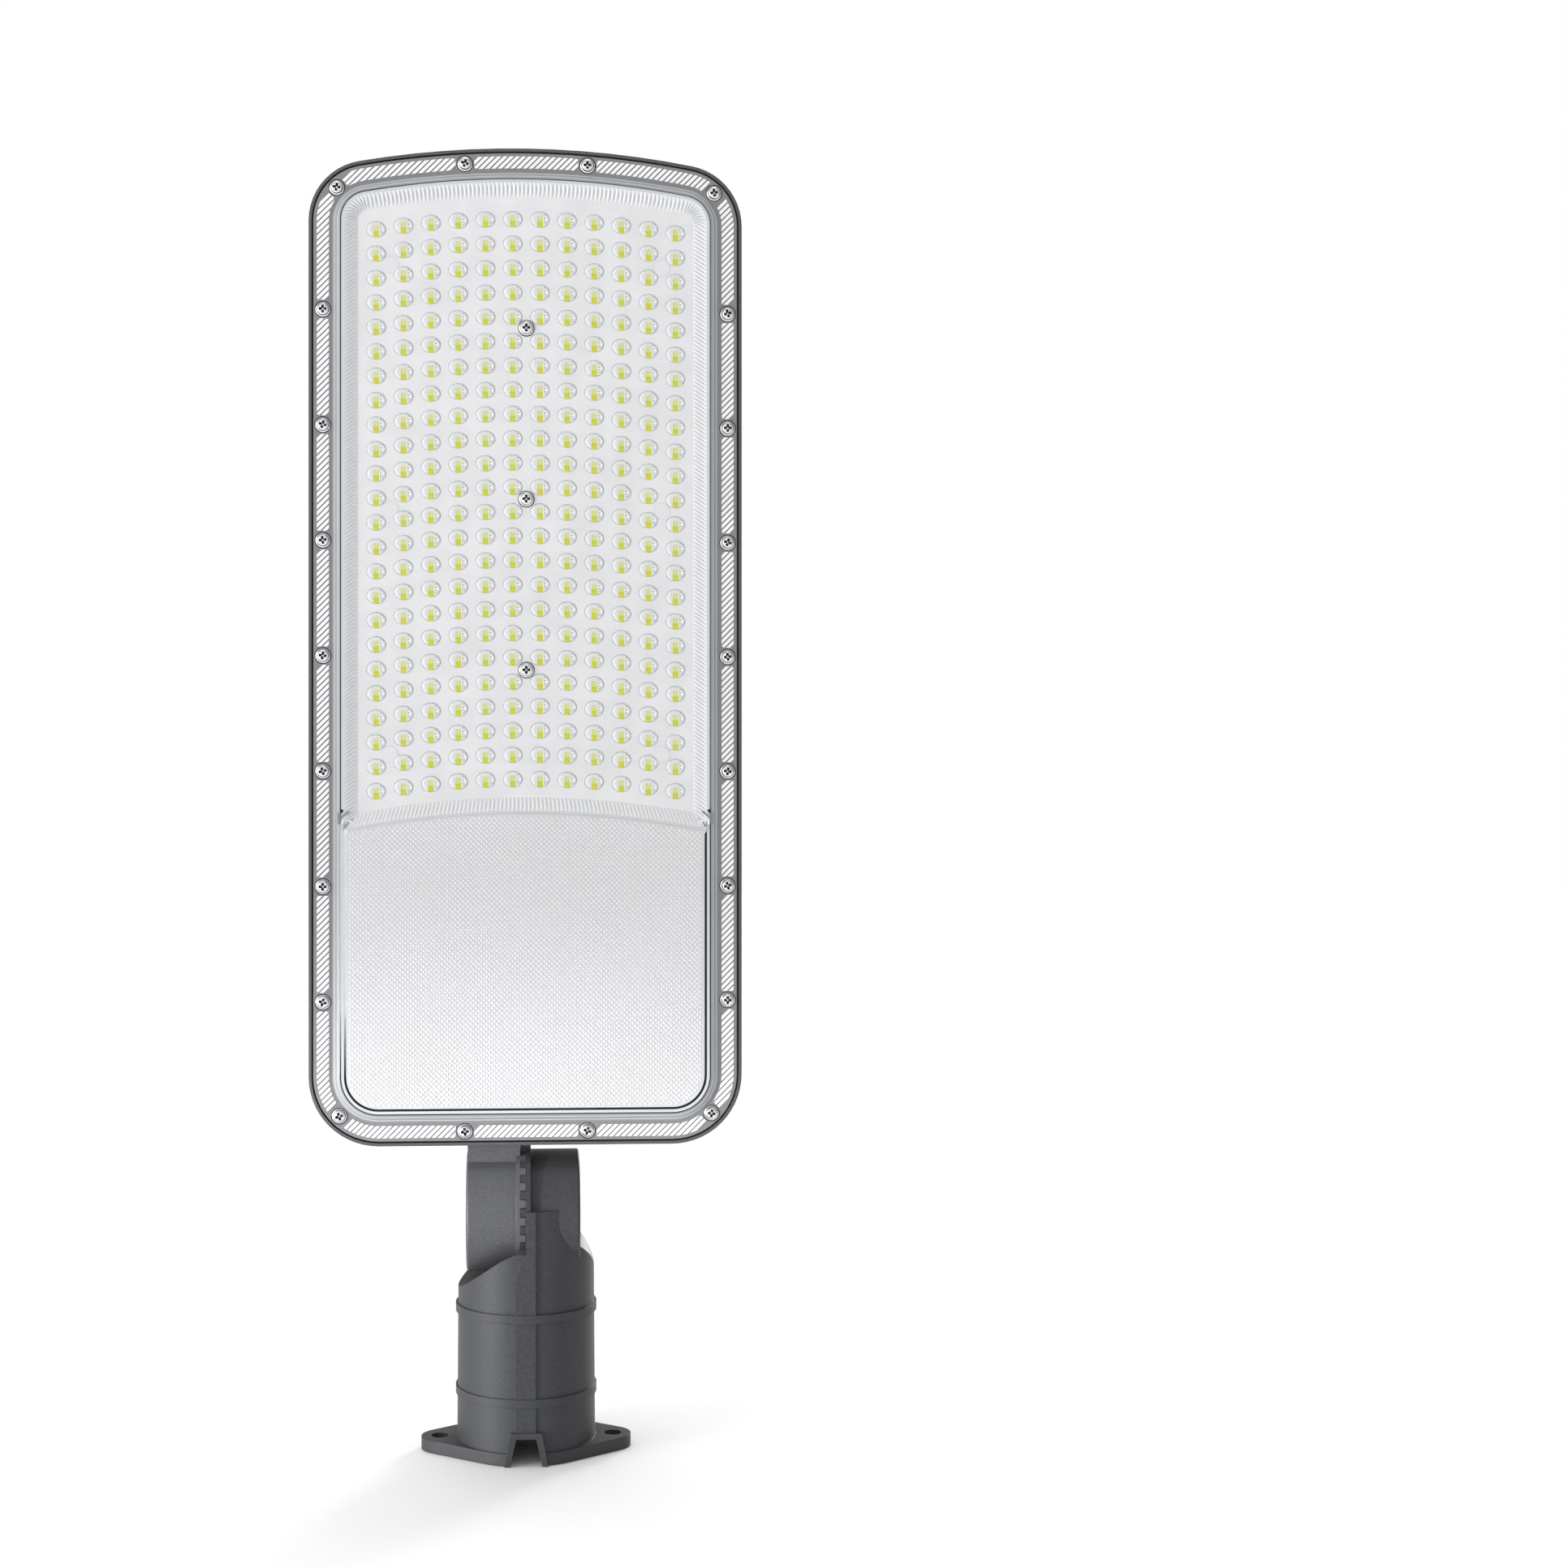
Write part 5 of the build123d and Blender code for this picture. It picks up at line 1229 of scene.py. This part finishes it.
def make_floor():
    """A plain pale floor under the lamp."""
    half, top, base = FLOOR_HALF_WIDTH, -FLOOR_DROP, -FLOOR_DROP - FLOOR_THICKNESS
    soup = Soup()
    prism(soup, [(-half, base), (half, base), (half, top), (-half, top)], -half, half)
    mesh = new_mesh("studio_floor", soup)
    floor = add_object("studio_floor", mesh)
    outward_normals(mesh)
    tree = Tree("floor")
    tree.paint(tree.blend(tree.spread(tree.noise(3), 0.3, 0.7), grey(0.9), grey(0.92)))
    tree.set(Roughness=0.9)
    mesh.materials.append(tree.owner)


def add_light(name, kind, place, target, **settings):
    """A light of a kind, turned from its place to a target."""
    data = bpy.data.lights.new(name, kind)
    for setting, value in settings.items():
        setattr(data, setting, value)
    light = add_object(name, data)
    light.location = place
    light.rotation_euler = (Vector(target) - Vector(place)).to_track_quat("-Z", "Y").to_euler()


def sun(name, azimuth, elevation, softness, strength):
    """A soft distant light; azimuth 0 shines along +Y and 90 along -X."""
    around, up = math.radians(azimuth), math.radians(elevation)
    place = (math.sin(around) * math.cos(up), -math.cos(around) * math.cos(up), math.sin(up))
    add_light(name, "SUN", place, (0.0, 0.0, 0.0), angle=math.radians(softness), energy=strength)


def softbox(name, place, target, size, power):
    """A round soft light."""
    add_light(name, "AREA", place, target, shape="DISK", size=size, energy=power)


def spot(name, place, target, cone, radius, power):
    """A narrow light that fades to the edge of its cone."""
    settings = {"spot_size": math.radians(cone), "spot_blend": 1.0, "shadow_soft_size": radius}
    add_light(name, "SPOT", place, target, energy=power, **settings)


def make_lights():
    """Soft light from above, behind and the left, and a spot on the pole adaptor."""
    sun("top_light", 178, 78, 50, 1.45)
    sun("back_key", 150, 10, 16, 1.9)
    spot("adaptor_key", (-1.3, -0.75, 0.08), (0.0, 0.0, 0.03), 7.0, 0.2, 780)
    softbox("left_box", (-2.2, -1.2, 0.75), (0.0, 0.0, 0.3), 1.8, 26)
    softbox("front_box", (-0.7, -3.0, 1.4), (0.0, 0.0, 0.4), 2.0, 6)


def make_world():
    """White behind the lamp; as a light, brighter from the left than from the right."""
    tree = Tree("studio", "worlds", "Background")
    across, _, _ = tree.parts(tree.ray)
    side = tree.spread(across, -1.0, 1.0, WORLD_LEFT, WORLD_RIGHT)
    seen = tree.node("LightPath").outputs["Is Camera Ray"]
    tree.join(tree.node("Mix", Factor=seen, A=side, B=1.0).outputs["Result"], "Strength")
    tree.set(Color=grey(1.0))
    bpy.context.scene.world = tree.owner


def make_camera():
    """A level camera in front of the head."""
    data = bpy.data.cameras.new("camera")
    data.sensor_width = CAMERA_SENSOR
    data.lens = CAMERA_LENS
    data.shift_x = CAMERA_SHIFT
    camera = add_object("camera", data)
    camera.location = CAMERA_PLACE
    camera.rotation_euler = (QUARTER, 0.0, math.radians(CAMERA_TURN))
    bpy.context.scene.camera = camera


make_cover_frame()
make_hatching()
make_fluted_wall()
make_field_sheet()
make_lenses()
make_emitters()
make_panel()
make_clips()
make_pads()
make_screws()
dress_nodes()
make_floor()
make_lights()
make_world()
make_camera()
bpy.context.scene.view_settings.view_transform = "Standard"
